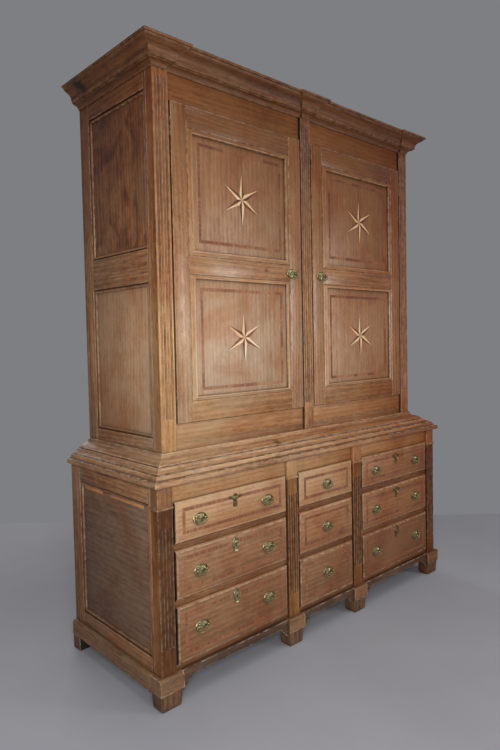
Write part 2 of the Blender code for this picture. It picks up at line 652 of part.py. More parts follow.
# Drawers: front, two sides, back and bottom joined into one box, with its handles
def make_drawer(column, left, right, row):
    name = f"{column}_{ROWS[row]}_drawer"
    left, right = left + DRAWER_SIDE_GAP, right - DRAWER_SIDE_GAP
    floor = row_floor(row)
    front_foot = floor + DRAWER_EDGE_GAP
    front_top = front_foot + DRAWER_HEIGHTS[row]
    wall_foot, wall_top = floor + FIT, front_top - DRAWER_WALL_DROP
    front_back = DRAWER_FACE + DRAWER_FRONT_THICKNESS
    rear = BACK_FACE - DRAWER_BACK_ROOM
    origin = ((left + right) / 2, DRAWER_FACE, (front_foot + front_top) / 2)

    front = boxes(((left, DRAWER_FACE, front_foot), (right, front_back, front_top)))
    rim = [edge for edge in front.edges if all(vertex.co.y < DRAWER_FACE + FIT for vertex in edge.verts)]
    bmesh.ops.bevel(front, geom=rim, offset=DRAWER_BEVEL, segments=1, affect="EDGES")
    drawer = part(name, front, oak_drawer, origin)
    combine(drawer, boxes(((left, front_back - OVERLAP, wall_foot), (right, rear, wall_top))), "UNION")
    floor_foot = wall_foot + DRAWER_BOTTOM_RAISE
    inside = (left + DRAWER_WALL, front_back, floor_foot + DRAWER_BOTTOM_THICKNESS)
    under = (left + DRAWER_WALL, front_back, wall_foot - OVERLAP)
    hollows = boxes((inside, (right - DRAWER_WALL, rear - DRAWER_WALL, front_top + OVERLAP)),
                    (under, (right - DRAWER_WALL, rear - DRAWER_WALL, floor_foot)))
    combine(drawer, hollows, "DIFFERENCE")

    handle_z = front_top - HANDLE_DROPS[row]
    if column == "centre":
        centres = {"": (origin[0], handle_z)}
    else:
        centres = {"_left": (left + HANDLE_INSET, handle_z), "_right": (right - HANDLE_INSET, handle_z)}
    add_posts(drawer, centres.values(), DRAWER_FACE)
    for word, (x, z) in centres.items():
        make_bail(f"{name}{word}_bail", x, z, DRAWER_FACE, drawer)


# Doors: frame with a moulded edge round two flat panels, hung on two pin hinges
def add_bevelled_hole(bm, x_range, z_range, face):
    """A shallow sloping recess: the sight size at its floor, the moulding's outer edge at the face."""
    first = len(bm.verts)
    low_corner, high_corner = zip(x_range, (face - OVERLAP, face + MOULDING_DEPTH), z_range)
    add_box(bm, low_corner, high_corner)
    bm.verts.ensure_lookup_table()
    for vertex in bm.verts[first:]:
        spread = (face + MOULDING_DEPTH - vertex.co.y) * MOULDING_WIDTH / MOULDING_DEPTH
        vertex.co.x += math.copysign(spread, vertex.co.x - sum(x_range) / 2)
        vertex.co.z += math.copysign(spread, vertex.co.z - sum(z_range) / 2)


def hinge_levels():
    """Middle heights of a door's two hinges."""
    return {"lower": DOOR_FOOT + HINGE_INSET, "upper": DOOR_TOP - HINGE_INSET}


def make_hinge(word, side, level_word, level):
    """Fixed half of a hinge: leaf on the stile, two knuckles and the pin."""
    axis_x = side * HINGE_X
    third = HINGE_LENGTH / 3
    low, high = level - HINGE_LENGTH / 2, level + HINGE_LENGTH / 2
    seat = side * (PRESS_HALF - PRESS_CORNER_STILE - FIT)
    leaf_x = sorted((seat, seat - side * LEAF_THICKNESS))
    leaf = boxes(((leaf_x[0], PRESS_FRONT + LEAF_START, low), (leaf_x[1], PRESS_FRONT + LEAF_DEPTH, high)))
    hinge = part(f"{word}_{level_word}_hinge", leaf, iron, (axis_x, PRESS_FRONT, level))
    arms, knuckles = bmesh.new(), bmesh.new()
    for foot in (low, high - third):
        add_box(arms, (leaf_x[0], PRESS_FRONT, foot + OVERLAP / 2),
                (leaf_x[1], PRESS_FRONT + LEAF_START + OVERLAP, foot + third - OVERLAP / 2))
        add_rod(knuckles, (axis_x, PRESS_FRONT, foot + third / 2), KNUCKLE_RADIUS, third, "Z", 12)
    combine(hinge, arms, "UNION")
    combine(hinge, knuckles, "UNION")
    pin = bmesh.new()
    add_rod(pin, (axis_x, PRESS_FRONT, level), PIN_RADIUS, HINGE_LENGTH - OVERLAP, "Z", 10)
    combine(hinge, pin, "UNION")


def add_door_knuckles(frame, side):
    """Moving halves of the hinges: a short leaf on the door's edge and a bored middle knuckle."""
    axis_x = side * HINGE_X
    reach = HINGE_LENGTH / 6 - FIT
    leaves, knuckles, bores = bmesh.new(), bmesh.new(), bmesh.new()
    leaf_x = sorted((side * (DOOR_OUTER - OVERLAP), side * (DOOR_OUTER + LEAF_THICKNESS)))
    for level in hinge_levels().values():
        add_box(leaves, (leaf_x[0], PRESS_FRONT, level - reach + OVERLAP / 2),
                (leaf_x[1], PRESS_FRONT + LEAF_DEPTH, level + reach - OVERLAP / 2))
        add_rod(knuckles, (axis_x, PRESS_FRONT, level), KNUCKLE_RADIUS, 2 * reach, "Z", 12)
        bore = (PIN_RADIUS + FIT) / math.cos(math.pi / 12)
        add_rod(bores, (axis_x, PRESS_FRONT, level), bore, HINGE_LENGTH, "Z", 12)
    combine(frame, leaves, "UNION")
    combine(frame, knuckles, "UNION")
    combine(frame, bores, "DIFFERENCE")


def make_door(word, side):
    axis = (side * HINGE_X, PRESS_FRONT, DOOR_FOOT)
    edges = sorted((side * DOOR_OUTER, side * DOOR_INNER))
    blank = boxes(((edges[0], DOOR_FACE, DOOR_FOOT), (edges[1], DOOR_FACE + DOOR_THICKNESS, DOOR_TOP)))
    frame = part(f"{word}_door_frame", blank, oak_front, axis)
    sight_x = sorted((side * (DOOR_OUTER - DOOR_OUTER_STILE - MOULDING_WIDTH),
                      side * (DOOR_INNER + DOOR_MEETING_STILE + MOULDING_WIDTH)))
    lower_foot = DOOR_FOOT + DOOR_BOTTOM_RAIL
    upper_foot = lower_foot + DOOR_LOWER_PANEL + DOOR_MIDDLE_RAIL
    mouldings = {"lower": (lower_foot, lower_foot + DOOR_LOWER_PANEL),
                 "upper": (upper_foot, DOOR_TOP - DOOR_TOP_RAIL)}
    panel_face = DOOR_FACE + DOOR_PANEL_RECESS
    groove_y = (panel_face - FIT, panel_face + PANEL_THICKNESS + FIT)
    through = (DOOR_FACE - OVERLAP, DOOR_FACE + DOOR_THICKNESS + OVERLAP)
    slopes, holes, grooves = bmesh.new(), bmesh.new(), bmesh.new()
    for panel_word, (low, high) in mouldings.items():
        sight_z = (low + MOULDING_WIDTH, high - MOULDING_WIDTH)
        add_bevelled_hole(slopes, sight_x, sight_z, DOOR_FACE)
        low_corner, high_corner = zip(sight_x, through, sight_z)
        add_box(holes, low_corner, high_corner)
        add_box(grooves, *groove_boxes(sight_x, groove_y, sight_z, 1))
        panel = boxes(panel_boxes(sight_x, groove_y, sight_z, 1))
        part(f"{word}_door_{panel_word}_panel", panel, oak_panel, axis, frame)
    for shape in (slopes, holes, grooves):
        combine(frame, shape, "DIFFERENCE")
    add_door_knuckles(frame, side)
    handle_x = side * (DOOR_INNER + DOOR_HANDLE_INSET)
    middle_rail = lower_foot + DOOR_LOWER_PANEL + DOOR_MIDDLE_RAIL / 2
    handle_z = middle_rail + DOOR_HANDLE_RISE
    add_posts(frame, [(handle_x, handle_z)], DOOR_FACE)
    make_bail(f"{word}_door_bail", handle_x, handle_z, DOOR_FACE, frame)
    for level_word, level in hinge_levels().items():
        make_hinge(word, side, level_word, level)


make_plinth()
make_base_sides()
make_partitions()
make_base_face_frame()
make_base_boards()
make_waist_moulding()
make_press_sides()
make_press_face_frame()
make_press_boards()
make_cornice()
for column_name, column_left, column_right in DRAWER_COLUMNS:
    for row_number in range(len(ROWS)):
        make_drawer(column_name, column_left, column_right, row_number)
for side_word, side_sign in SIDES:
    make_door(side_word, side_sign)

for piece in parts.objects:
    if piece.type == "MESH":
        piece.data.shade_smooth()
        piece.data.set_sharp_from_angle(angle=math.radians(40))
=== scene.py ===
"""Dresses the oak press cupboard for its picture: boards, mouldings, inlay and brass round the solids.

Everything is drawn in metres from the middle of the base's front at floor level, with X to the right,
Y from the front to the back and Z up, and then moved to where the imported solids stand.
"""
import math
import random

import bmesh
import bpy
from mathutils import Matrix, Vector


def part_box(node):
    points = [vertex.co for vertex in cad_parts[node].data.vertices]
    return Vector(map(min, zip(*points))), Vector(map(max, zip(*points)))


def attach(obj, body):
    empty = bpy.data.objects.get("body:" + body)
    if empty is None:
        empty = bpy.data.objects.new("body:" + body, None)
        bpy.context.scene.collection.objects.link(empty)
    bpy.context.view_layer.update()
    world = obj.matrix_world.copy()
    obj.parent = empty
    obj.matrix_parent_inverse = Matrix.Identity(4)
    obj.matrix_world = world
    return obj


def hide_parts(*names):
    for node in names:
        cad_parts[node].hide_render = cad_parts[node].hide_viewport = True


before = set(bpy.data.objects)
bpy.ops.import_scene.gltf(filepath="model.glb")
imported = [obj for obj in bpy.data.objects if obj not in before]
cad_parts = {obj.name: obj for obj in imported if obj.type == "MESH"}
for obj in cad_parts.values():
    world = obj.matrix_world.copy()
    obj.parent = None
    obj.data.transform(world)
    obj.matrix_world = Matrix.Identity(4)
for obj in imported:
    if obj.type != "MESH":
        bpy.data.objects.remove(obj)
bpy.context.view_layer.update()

# Plinth
# The cupboard stands on a low frame of oak: scalloped aprons between square feet, with a moulded band down
# each side. The boards are sawn to shape, nailed to the feet and scuffed pale along every lower edge.
front_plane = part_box("base_top")[0].y
planks = random.Random(11)
hairline = 1e-6


def case_box(node):
    """A solid's corners, measured from the base's front."""
    low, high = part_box(node)
    shift = Vector((0, front_plane, 0))
    return low - shift, high - shift


def linear(code):
    """Turns an sRGB hex colour into the linear colour that a shader takes."""
    shares = [int(code[start:start + 2], 16) / 255 for start in (0, 2, 4)]
    lit = [share / 12.92 if share <= 0.04045 else ((share + 0.055) / 1.055) ** 2.4 for share in shares]
    return (*lit, 1.0)


def add_node(tree, kind, sockets=None, **settings):
    """Adds one node with its settings; a socket is given either a value or an earlier node's output."""
    node = tree.nodes.new("ShaderNode" + kind)
    for setting, value in settings.items():
        setattr(node, setting, value)
    for socket, value in (sockets or {}).items():
        if isinstance(value, bpy.types.NodeSocket):
            tree.links.new(value, node.inputs[socket])
        else:
            node.inputs[socket].default_value = value
    return node


def new_finish(name):
    """An empty material, with its nodes, its shader and the place of each point on the object."""
    material = bpy.data.materials.new(name)
    material.use_nodes = True
    tree = material.node_tree
    place = add_node(tree, "TexCoord").outputs["Object"]
    return material, tree, tree.nodes["Principled BSDF"], place


def lay_over(tree, colour, value, start, end, most, tint, blend="MIX"):
    """Lays a tint over a colour: none where a value is at its start, and most where it is at its end."""
    sockets = {"Value": value, "From Min": start, "From Max": end, "To Min": 0.0, "To Max": most}
    share = add_node(tree, "MapRange", sockets).outputs[0]
    sockets = {"Fac": share, "Color1": colour, "Color2": tint}
    return add_node(tree, "MixRGB", sockets, blend_type=blend).outputs[0]


def oak(name, light, middle, dark, patch, along=None, wear=0.55, worn="cdb59a", fading=1.0,
        gloss=0.0, shine=0.5, dirt=0.85, knots=(), swirl=0.0):
    """Planed oak that has darkened for two centuries under worn wax.

    It shows as brown streaks and short dark pores along the grain, a soft mottle, tone changes from plank
    to plank, duller patches where the wax is gone, redder ones where it has stayed and pale rubbed edges.
    Painted shade makes it near black in corners and gaps and darker towards the top and the right, and a
    painted pool of light makes it paler and greyer round the lower left door and the waist. Gloss makes
    the wax smoother, and shine is how much light it throws back. Real pores are 0.3 mm wide, too fine for
    the picture, so they are drawn 3 mm wide and the streaks 4 mm.
    """
    material, tree, shader, place = new_finish(name)
    split = add_node(tree, "SeparateXYZ", {"Vector": place})
    if along is None:
        grain = add_node(tree, "Attribute", attribute_name="grain").outputs["Vector"]
    else:
        order = along + "XYZ".replace(along, "")
        reordered = {socket: split.outputs[axis] for socket, axis in zip("XYZ", order)}
        grain = add_node(tree, "CombineXYZ", reordered).outputs["Vector"]
    tone = add_node(tree, "Attribute", attribute_name="tone").outputs["Fac"]

    def figure(length, width, detail, distortion):
        """Noise drawn out along the grain to marks of a given length and width."""
        sizes = (1 / length, 1 / width, 1 / width)
        drawn = add_node(tree, "VectorMath", {0: grain, 1: sizes}, operation="MULTIPLY")
        sockets = {"Vector": drawn.outputs[0], "Scale": 1.0, "Detail": detail, "Roughness": 0.62,
                   "Distortion": distortion}
        return add_node(tree, "TexNoise", sockets).outputs["Fac"]

    streaks = figure(0.070, 0.0036, 3.0, 0.4)
    broad = figure(0.500, 0.060, 3.0, 1.0)
    mottle = figure(0.036, 0.014, 3.0, 0.6)
    pores = figure(0.030, 0.0028, 1.0, 0.0)
    speckle = add_node(tree, "TexNoise", {"Vector": place, "Scale": 330.0, "Detail": 1.0}).outputs["Fac"]
    flat_sawn = add_node(tree, "VectorMath", {0: grain, 1: (0.08, 1.0, 1.0)}, operation="MULTIPLY")
    sockets = {"Vector": flat_sawn.outputs[0], "Scale": 17.0, "Distortion": 9.0, "Detail": 2.0,
               "Detail Scale": 0.9}
    rings = add_node(tree, "TexWave", sockets, bands_direction="Y").outputs["Fac"]
    mixed = add_node(tree, "Math", {0: streaks, 1: 0.28, 2: -0.16}, operation="MULTIPLY_ADD").outputs[0]
    marks = ((broad, 0.24), (mottle, 0.22), (pores, 0.20), (rings, 0.08), (speckle, 0.30), (tone, 0.25))
    for mark, share in marks:
        mixed = add_node(tree, "Math", {0: mark, 1: share, 2: mixed}, operation="MULTIPLY_ADD").outputs[0]
    ramp = add_node(tree, "ValToRGB", {"Fac": mixed})
    stops = ramp.color_ramp.elements
    stops[0].position = 0.36
    stops[0].color = linear(dark)
    stops[1].position = 0.64
    stops[1].color = linear(light)
    stops.new(0.50).color = linear(middle)
    colour = lay_over(tree, ramp.outputs["Color"], pores, 0.60, 0.76, 0.40, linear(dark))
    clouds = add_node(tree, "TexNoise", {"Vector": place, "Scale": 3.0, "Detail": 4.0, "Roughness": 0.6})
    colour = lay_over(tree, colour, clouds.outputs["Fac"], 0.50, 0.72, 0.55, linear(patch))
    pools = add_node(tree, "TexNoise", {"Vector": place, "Scale": 4.5, "Detail": 5.0, "Roughness": 0.65,
                                        "Distortion": 0.8})
    colour = lay_over(tree, colour, pools.outputs["Fac"], 0.44, 0.66, 0.65, linear("e3b584"), "MULTIPLY")
    # Painted light: a paler, greyer pool round the lower left door and the waist, where the lamps light it
    # most
    painted_light_middle = (-0.55, -0.20, 1.10)
    painted_light_narrowing = (0.60, 0.80, 1.25)
    painted_light_tint = (1.50, 1.84, 2.25, 1.0)
    away = add_node(tree, "VectorMath", {0: place, 1: painted_light_middle}, operation="SUBTRACT").outputs[0]
    away = add_node(tree, "VectorMath", {0: away, 1: painted_light_narrowing}, operation="MULTIPLY").outputs[0]
    away = add_node(tree, "VectorMath", {0: away}, operation="LENGTH").outputs["Value"]
    colour = lay_over(tree, colour, away, 0.95, 0.20, fading, painted_light_tint, "MULTIPLY")
    # Painted shade: darker towards the top and towards the right, where the light falls off
    painted_falloffs = (("Z", 1.15, 2.05, 0.85, "c4a473"), ("X", -0.12, 0.85, 0.72, "e2b062"))
    for axis, start, end, most, falloff_tint in painted_falloffs:
        colour = lay_over(tree, colour, split.outputs[axis], start, end, most, linear(falloff_tint), "MULTIPLY")

    if swirl:
        sockets = {"Vector": place, "Scale": 5.5, "Detail": 3.0, "Distortion": 2.2}
        twisted = add_node(tree, "TexNoise", sockets).outputs["Fac"]
        colour = lay_over(tree, colour, twisted, 0.44, 0.72, swirl, linear("965f44"), "MULTIPLY")
    for spot, radius, ring in knots:
        away = add_node(tree, "VectorMath", {0: place, 1: spot}, operation="DISTANCE").outputs["Value"]
        away = add_node(tree, "Math", {0: mottle, 1: radius, 2: away}, operation="MULTIPLY_ADD").outputs[0]
        colour = lay_over(tree, colour, away, 1.5 * radius, 0.75 * radius, 0.9, linear(ring))

    # Painted shade: towards near black where ambient occlusion finds corners and gaps, and on edges that
    # show in a gap, where the tone is set below -1.6
    corners = add_node(tree, "AmbientOcclusion", {"Distance": 0.012}, samples=6).outputs["AO"]
    painted_shade = add_node(tree, "MapRange", {"Value": corners, "From Min": 0.88, "From Max": 0.35,
                                        "To Min": 0.0, "To Max": dirt}).outputs[0]
    painted_gap_shade = add_node(tree, "MapRange", {"Value": tone, "From Min": -1.6, "From Max": -3.0}).outputs[0]
    painted_shade = add_node(tree, "Math", {0: painted_shade, 1: painted_gap_shade}, operation="MAXIMUM").outputs[0]
    sockets = {"Fac": painted_shade, "Color1": colour, "Color2": linear("1e130b")}
    colour = add_node(tree, "MixRGB", sockets).outputs[0]

    rounded = add_node(tree, "Bevel", {"Radius": 0.0050}, samples=4).outputs["Normal"]
    facing = add_node(tree, "NewGeometry").outputs["Normal"]
    bent = add_node(tree, "VectorMath", {0: rounded, 1: facing}, operation="DOT_PRODUCT").outputs["Value"]
    edges = add_node(tree, "MapRange", {"Value": bent, "From Min": 0.985, "From Max": 0.90,
                                        "To Min": 0.0, "To Max": wear}).outputs[0]
    rubbed = add_node(tree, "TexNoise", {"Vector": place, "Scale": 50.0, "Detail": 2.0}).outputs["Fac"]
    for value, start, end in ((corners, 0.50, 0.80), (rubbed, 0.40, 0.60)):
        share = add_node(tree, "MapRange", {"Value": value, "From Min": start, "From Max": end}).outputs[0]
        edges = add_node(tree, "Math", {0: edges, 1: share}, operation="MULTIPLY").outputs[0]
    sockets = {"Fac": edges, "Color1": colour, "Color2": linear(worn)}
    tree.links.new(add_node(tree, "MixRGB", sockets).outputs[0], shader.inputs["Base Color"])

    sockets = {"Value": mottle, "From Min": 0.30, "From Max": 0.70, "To Min": 0.66 - gloss,
               "To Max": 0.48 - gloss}
    tree.links.new(add_node(tree, "MapRange", sockets).outputs[0], shader.inputs["Roughness"])
    relief = add_node(tree, "Math", {0: pores, 1: -0.6, 2: streaks}, operation="MULTIPLY_ADD").outputs[0]
    bump = add_node(tree, "Bump", {"Strength": 0.35, "Distance": 0.0008, "Height": relief})
    tree.links.new(bump.outputs["Normal"], shader.inputs["Normal"])
    shader.inputs["IOR"].default_value = 1.48
    shader.inputs["Specular IOR Level"].default_value = shine
    return material


def new_piece():
    """An empty piece, filled chunk by chunk."""
    return {"points": [], "grain": [], "tone": [], "faces": [], "finish": []}


def add_chunk(piece, chunk, along, tone=0.0, finish=0):
    """Adds one closed chunk of wood or metal, its grain along an axis as if cut from a plank of its own.

    The tone is one number, or a function of a point for wood that is darker in some places than in others.
    """
    bmesh.ops.recalc_face_normals(chunk, faces=chunk.faces)
    chunk.verts.index_update()
    corners = [vertex.co for vertex in chunk.verts]
    spans = [max(co[axis] for co in corners) - min(co[axis] for co in corners) for axis in range(3)]
    others = sorted((axis for axis in range(3) if axis != along), key=lambda axis: -spans[axis])
    plank = [planks.uniform(0, 20) for _ in range(3)]
    first = len(piece["points"])
    for vertex in chunk.verts:
        piece["points"].append(vertex.co.copy())
        piece["grain"].extend(vertex.co[axis] + start for axis, start in zip((along, *others), plank))
        piece["tone"].append(tone(vertex.co) if callable(tone) else tone)
    for face in chunk.faces:
        piece["faces"].append([first + vertex.index for vertex in face.verts])
        piece["finish"].append(finish)
    chunk.free()


def block(low, high):
    """A plain block, ready to be shaped."""
    low, high = Vector(low), Vector(high)
    chunk = bmesh.new()
    sizes = Matrix.Diagonal((*(high - low), 1))
    bmesh.ops.create_cube(chunk, size=1, matrix=Matrix.Translation((low + high) / 2) @ sizes)
    return chunk


def ease(chunk, edges, width, steps=2):
    """Takes the sharpness off some edges."""
    bmesh.ops.bevel(chunk, geom=edges, offset=width, segments=steps, profile=0.5, affect="EDGES")


def add_board(piece, low, high, along, edge=0.001, tone=0.0, finish=0):
    """A planed board between two corners, with eased edges."""
    chunk = block(low, high)
    ease(chunk, chunk.edges[:], edge)
    add_chunk(piece, chunk, along, tone, finish)


def sawn(outline, near, far, edge=0.0):
    """An outline of (x, z) corners sawn from a board, with its front edges eased."""
    chunk = bmesh.new()
    face = chunk.faces.new([chunk.verts.new((x, near, z)) for x, z in outline])
    pulled = bmesh.ops.extrude_face_region(chunk, geom=[face])
    moved = [item for item in pulled["geom"] if isinstance(item, bmesh.types.BMVert)]
    bmesh.ops.translate(chunk, verts=moved, vec=(0, far - near, 0))
    if edge:
        front = [e for e in chunk.edges if all(abs(v.co.y - near) < hairline for v in e.verts)]
        ease(chunk, front, edge)
        # A corner that an outline gives twice would leave faces without area
        bmesh.ops.dissolve_degenerate(chunk, dist=hairline, edges=chunk.edges[:])
    return chunk


def skinned(rings, looped=False):
    """A closed chunk over a stack of rings of points, capped at its ends or looped back to its start."""
    chunk = bmesh.new()
    stack = [[chunk.verts.new(point) for point in ring] for ring in rings]
    for ring, following in zip(stack, stack[1:] + (stack[:1] if looped else [])):
        for spot in range(len(ring)):
            after = (spot + 1) % len(ring)
            chunk.faces.new((ring[spot], ring[after], following[after], following[spot]))
    if not looped:
        chunk.faces.new(stack[0])
        chunk.faces.new(reversed(stack[-1]))
    return chunk


def add_runs(piece, path, profile, axes, closed=False, stretch=(1, 1), tone=0.0, finish=0):
    """Lengths of moulding mitred at the corners of a path.

    A path point is (u, v), a profile point is (reach to the right of the path, rise), and axes says which
    axis u, v and the rise lie on. The profile is drawn all the way round, its hidden back included. A list
    of tones has one for each length.
    """
    corners = [Vector(point) for point in path]
    lengths = len(corners) if closed else len(corners) - 1
    normals = []
    for index in range(lengths):
        along = (corners[(index + 1) % len(corners)] - corners[index]).normalized()
        normals.append(Vector((along.y, -along.x)))
    for index, normal in enumerate(normals):
        before = normals[index - 1] if closed or index > 0 else normal
        after = normals[(index + 1) % lengths] if closed or index + 1 < lengths else normal
        rings = []
        for corner, other in ((corners[index], before), (corners[(index + 1) % len(corners)], after)):
            mitre = (normal + other) / (1 + normal.dot(other))
            ring = []
            for reach, rise in profile:
                point = [0, 0, 0]
                point[axes[0]] = corner.x + mitre.x * reach * stretch[0]
                point[axes[1]] = corner.y + mitre.y * reach * stretch[1]
                point[axes[2]] = rise
                ring.append(point)
            rings.append(ring)
        along = axes[0] if abs(normal.y) > abs(normal.x) else axes[1]
        add_chunk(piece, skinned(rings), along, tone[index] if isinstance(tone, list) else tone, finish)


def bend(start, control, end, steps=6):
    """Points along a curve from a start towards an end, pulled to a control point; the end is left off."""
    points = []
    for step in range(steps):
        t = step / steps
        weights = ((1 - t) ** 2, 2 * t * (1 - t), t ** 2)
        points.append(tuple(sum(w * p[i] for w, p in zip(weights, (start, control, end))) for i in (0, 1)))
    return points


def fit(name, mesh, body, nodes=(), spot=(0, 0, 0)):
    """Puts a mesh in its place as an object that rides on a body and stands for some solids."""
    obj = bpy.data.objects.new(name, mesh)
    bpy.context.scene.collection.objects.link(obj)
    obj.location = spot
    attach(obj, body)
    if nodes:
        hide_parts(*nodes)


def make_piece(name, piece, body, finishes, nodes=(), spot=(0, 0, 0)):
    """Turns the gathered chunks into one mesh with its finishes, and fits it."""
    mesh = bpy.data.meshes.new(name)
    mesh.from_pydata(piece["points"], [], piece["faces"])
    mesh.attributes.new("grain", "FLOAT_VECTOR", "POINT").data.foreach_set("vector", piece["grain"])
    mesh.attributes.new("tone", "FLOAT", "POINT").data.foreach_set("value", piece["tone"])
    for finish in finishes:
        mesh.materials.append(finish)
    mesh.polygons.foreach_set("material_index", piece["finish"])
    mesh.transform(Matrix.Translation((0, front_plane, 0)))
    mesh.shade_smooth()
    mesh.set_sharp_from_angle(angle=math.radians(28))
    fit(name, mesh, body, nodes, spot)
    return mesh


plinth_oak = oak("scuffed_oak_plinth", "96704c", "75553a", "452f1e", "74604a", wear=0.9)
plinth_low, plinth_high = case_box("plinth")
plinth_top = plinth_high.z
plinth_half = plinth_high.x
plinth_back = plinth_high.y
foot_front = plinth_low.y
foot_back = foot_front + 0.062
foot_width = 0.088
foot_waist = 0.056
foot_set_back = 0.003
foot_taper = 0.004
foot_rounding = 0.006
middle_foot_width = 0.082
middle_foot_x = 0.195
apron_front = foot_front + 0.010
apron_back = apron_front + 0.025
apron_foot = 0.080
side_foot = 0.050
scallop_width = 0.013
scallop_drop = 0.012
plinth = new_piece()

feet = [(-plinth_half, -plinth_half + foot_width)]
feet += [(side * middle_foot_x - middle_foot_width / 2, side * middle_foot_x + middle_foot_width / 2)
         for side in (-1, 1)]
feet.append((plinth_half - foot_width, plinth_half))
for left, right in feet:
    cap = block((left, foot_front, foot_waist), (right, foot_back, plinth_top))
    upper = [e for e in cap.edges if all(v.co.z > plinth_top - hairline and v.co.y < foot_back - hairline
                                         for v in e.verts)]
    ease(cap, upper, foot_rounding, 4)
    add_chunk(plinth, cap, 0, tone=0.1)
    lower = block((left + foot_set_back, foot_front + foot_set_back, 0),
                  (right - foot_set_back, foot_back - 0.002, foot_waist))
    middle = (left + right) / 2
    for vertex in lower.verts:
        if vertex.co.z < foot_waist / 2:
            vertex.co.x += math.copysign(foot_taper, middle - vertex.co.x)
            vertex.co.y += foot_taper if vertex.co.y < foot_front + 0.01 else 0
    sole = [e for e in lower.edges if any(v.co.z < foot_waist / 2 for v in e.verts)]
    ease(lower, sole, foot_rounding, 4)
    add_chunk(plinth, lower, 2, tone=-0.25)

# The aprons between the feet take a darker tone as painted shade
for (_, left), (right, _) in zip(feet, feet[1:]):
    scallops = []
    for lobe in range(3):
        lowest = apron_foot - (3 - lobe) * scallop_drop
        for step in range(5):
            share = step / 4
            out = (lobe + share) * scallop_width
            scallops.append((out, lowest + scallop_drop * (1 - math.sqrt(1 - share ** 2))))
    outline = [(left, plinth_top), (left, scallops[0][1])]
    outline += [(left + out, height) for out, height in scallops[1:]]
    outline += [(right - out, height) for out, height in reversed(scallops[1:])]
    outline += [(right, scallops[0][1]), (right, plinth_top)]
    add_chunk(plinth, sawn(outline, apron_front, apron_back, 0.0012), 0, tone=-0.6)

band_inner = 0.025
band_lip = 0.011
band = [(-band_inner, side_foot), (-0.002, side_foot), (0, side_foot + 0.002)]
band += bend((0, 0.092), (0, 0.104), (-band_lip, 0.105), 5)
band += [(-band_lip, plinth_top), (-band_inner, plinth_top)]
add_runs(plinth, [(-plinth_half, plinth_back), (-plinth_half, foot_back)], band, (0, 1, 2), tone=0.1)
add_runs(plinth, [(plinth_half, foot_back), (plinth_half, plinth_back)], band, (0, 1, 2), tone=0.1)
rear_foot_front = plinth_back - 0.052


def rear_foot_shade(point):
    """Painted shade: the fronts of the rear feet, under the case, are made near black."""
    return -3.0 if point.y < rear_foot_front + 0.0005 else 0.0


for side in (-1, 1):
    across = sorted((side * (plinth_half - 0.001), side * (plinth_half - foot_width)))
    add_board(plinth, (across[0], rear_foot_front, 0), (across[1], plinth_back, side_foot), 2, edge=0.002,
              tone=rear_foot_shade)
rail_half = plinth_half - band_inner
add_board(plinth, (-rail_half, plinth_back - 0.025, side_foot), (rail_half, plinth_back, plinth_top), 0)
make_piece("plinth_frame", plinth, "case", [plinth_oak], ["plinth"])

# Base sides
# Each side of the base is a frame of oak stiles and rails with one wide panel let into its grooves, held by
# a thin bead. The panel has shrunk and shows a bare strip along its top. Three L-shaped runners for the
# drawers are glued along the inside.
side_oak = oak("aged_oak_side", "a9784c", "885b39", "54351f", "7d634a", wear=0.8)
base_side_oak = oak("dusty_oak_side", "8a694f", "73553e", "574030", "6b5846", wear=0.5)
bare_oak = oak("bare_oak_edge", "dba368", "c58b52", "9c6a3c", "c08e5c", wear=0.0, fading=0.0)
drawer_rows = ("bottom", "middle", "top")
side_words = (("left", -1), ("right", 1))
side_thickness = 0.024
groove_depth = 0.008
panel_set_back = 0.008
bead_set_back = 0.0025
bead_near, bead_crown, bead_far = 0.003, 0.008, 0.013
bare_strips = ((0.090, 0.300), (0.355, 0.490))
bare_strip_height = 0.019
runner_wall = 0.767
runner_front, runner_back = 0.0403, 0.5697
runner_thickness = 0.014
guide_height = 0.012
slide_clearance = 0.0003
crisp_edge = 0.0005
planed_edge = 0.0008


def add_side(word, stage_name, panels, wood, boards):
    """Frame and panels of one side: stiles up the whole height, rails between, a bead round each panel."""
    sign = -1 if word == "left" else 1
    low, high = case_box(f"{stage_name}_{word}_frame")
    outer = high.x if sign > 0 else low.x
    across = sorted((outer, outer - sign * side_thickness))
    openings = []
    for panel in panels:
        panel_low, panel_high = case_box(panel)
        openings.append((panel_low.y + groove_depth, panel_high.y - groove_depth,
                         panel_low.z + groove_depth, panel_high.z - groove_depth))
        finish = 1 if "upper" in panel else 0
        add_board(boards, panel_low, panel_high, 1 if stage_name == "base" else 2, edge=crisp_edge,
                  finish=finish)
    near, far = openings[0][:2]
    add_board(wood, (across[0], low.y, low.z), (across[1], near, high.z), 2, edge=planed_edge, tone=0.12)
    add_board(wood, (across[0], far, low.z), (across[1], high.y, high.z), 2, edge=0.0012, tone=-0.05)
    levels = [low.z]
    for _, _, foot, top in sorted(openings, key=lambda opening: opening[2]):
        levels += [foot, top]
    levels.append(high.z)
    for foot, top in zip(levels[::2], levels[1::2]):
        add_board(wood, (across[0], near, foot), (across[1], far, top), 1, edge=planed_edge)
    # The bead stands on the panel with a dark quirk between it and the frame
    face = outer - sign * panel_set_back
    crest = outer - sign * bead_set_back
    bead = [(bead_near, face)]
    bead += bend((bead_far, face), (bead_far, crest), (bead_crown, crest), 4)
    bead += bend((bead_crown, crest), (bead_near, crest), (bead_near, face), 4)
    for near, far, foot, top in openings:
        path = [(near, foot), (near, top), (far, top), (far, foot)]
        add_runs(wood, path, bead, (1, 2, 0), closed=True, tone=-0.05)


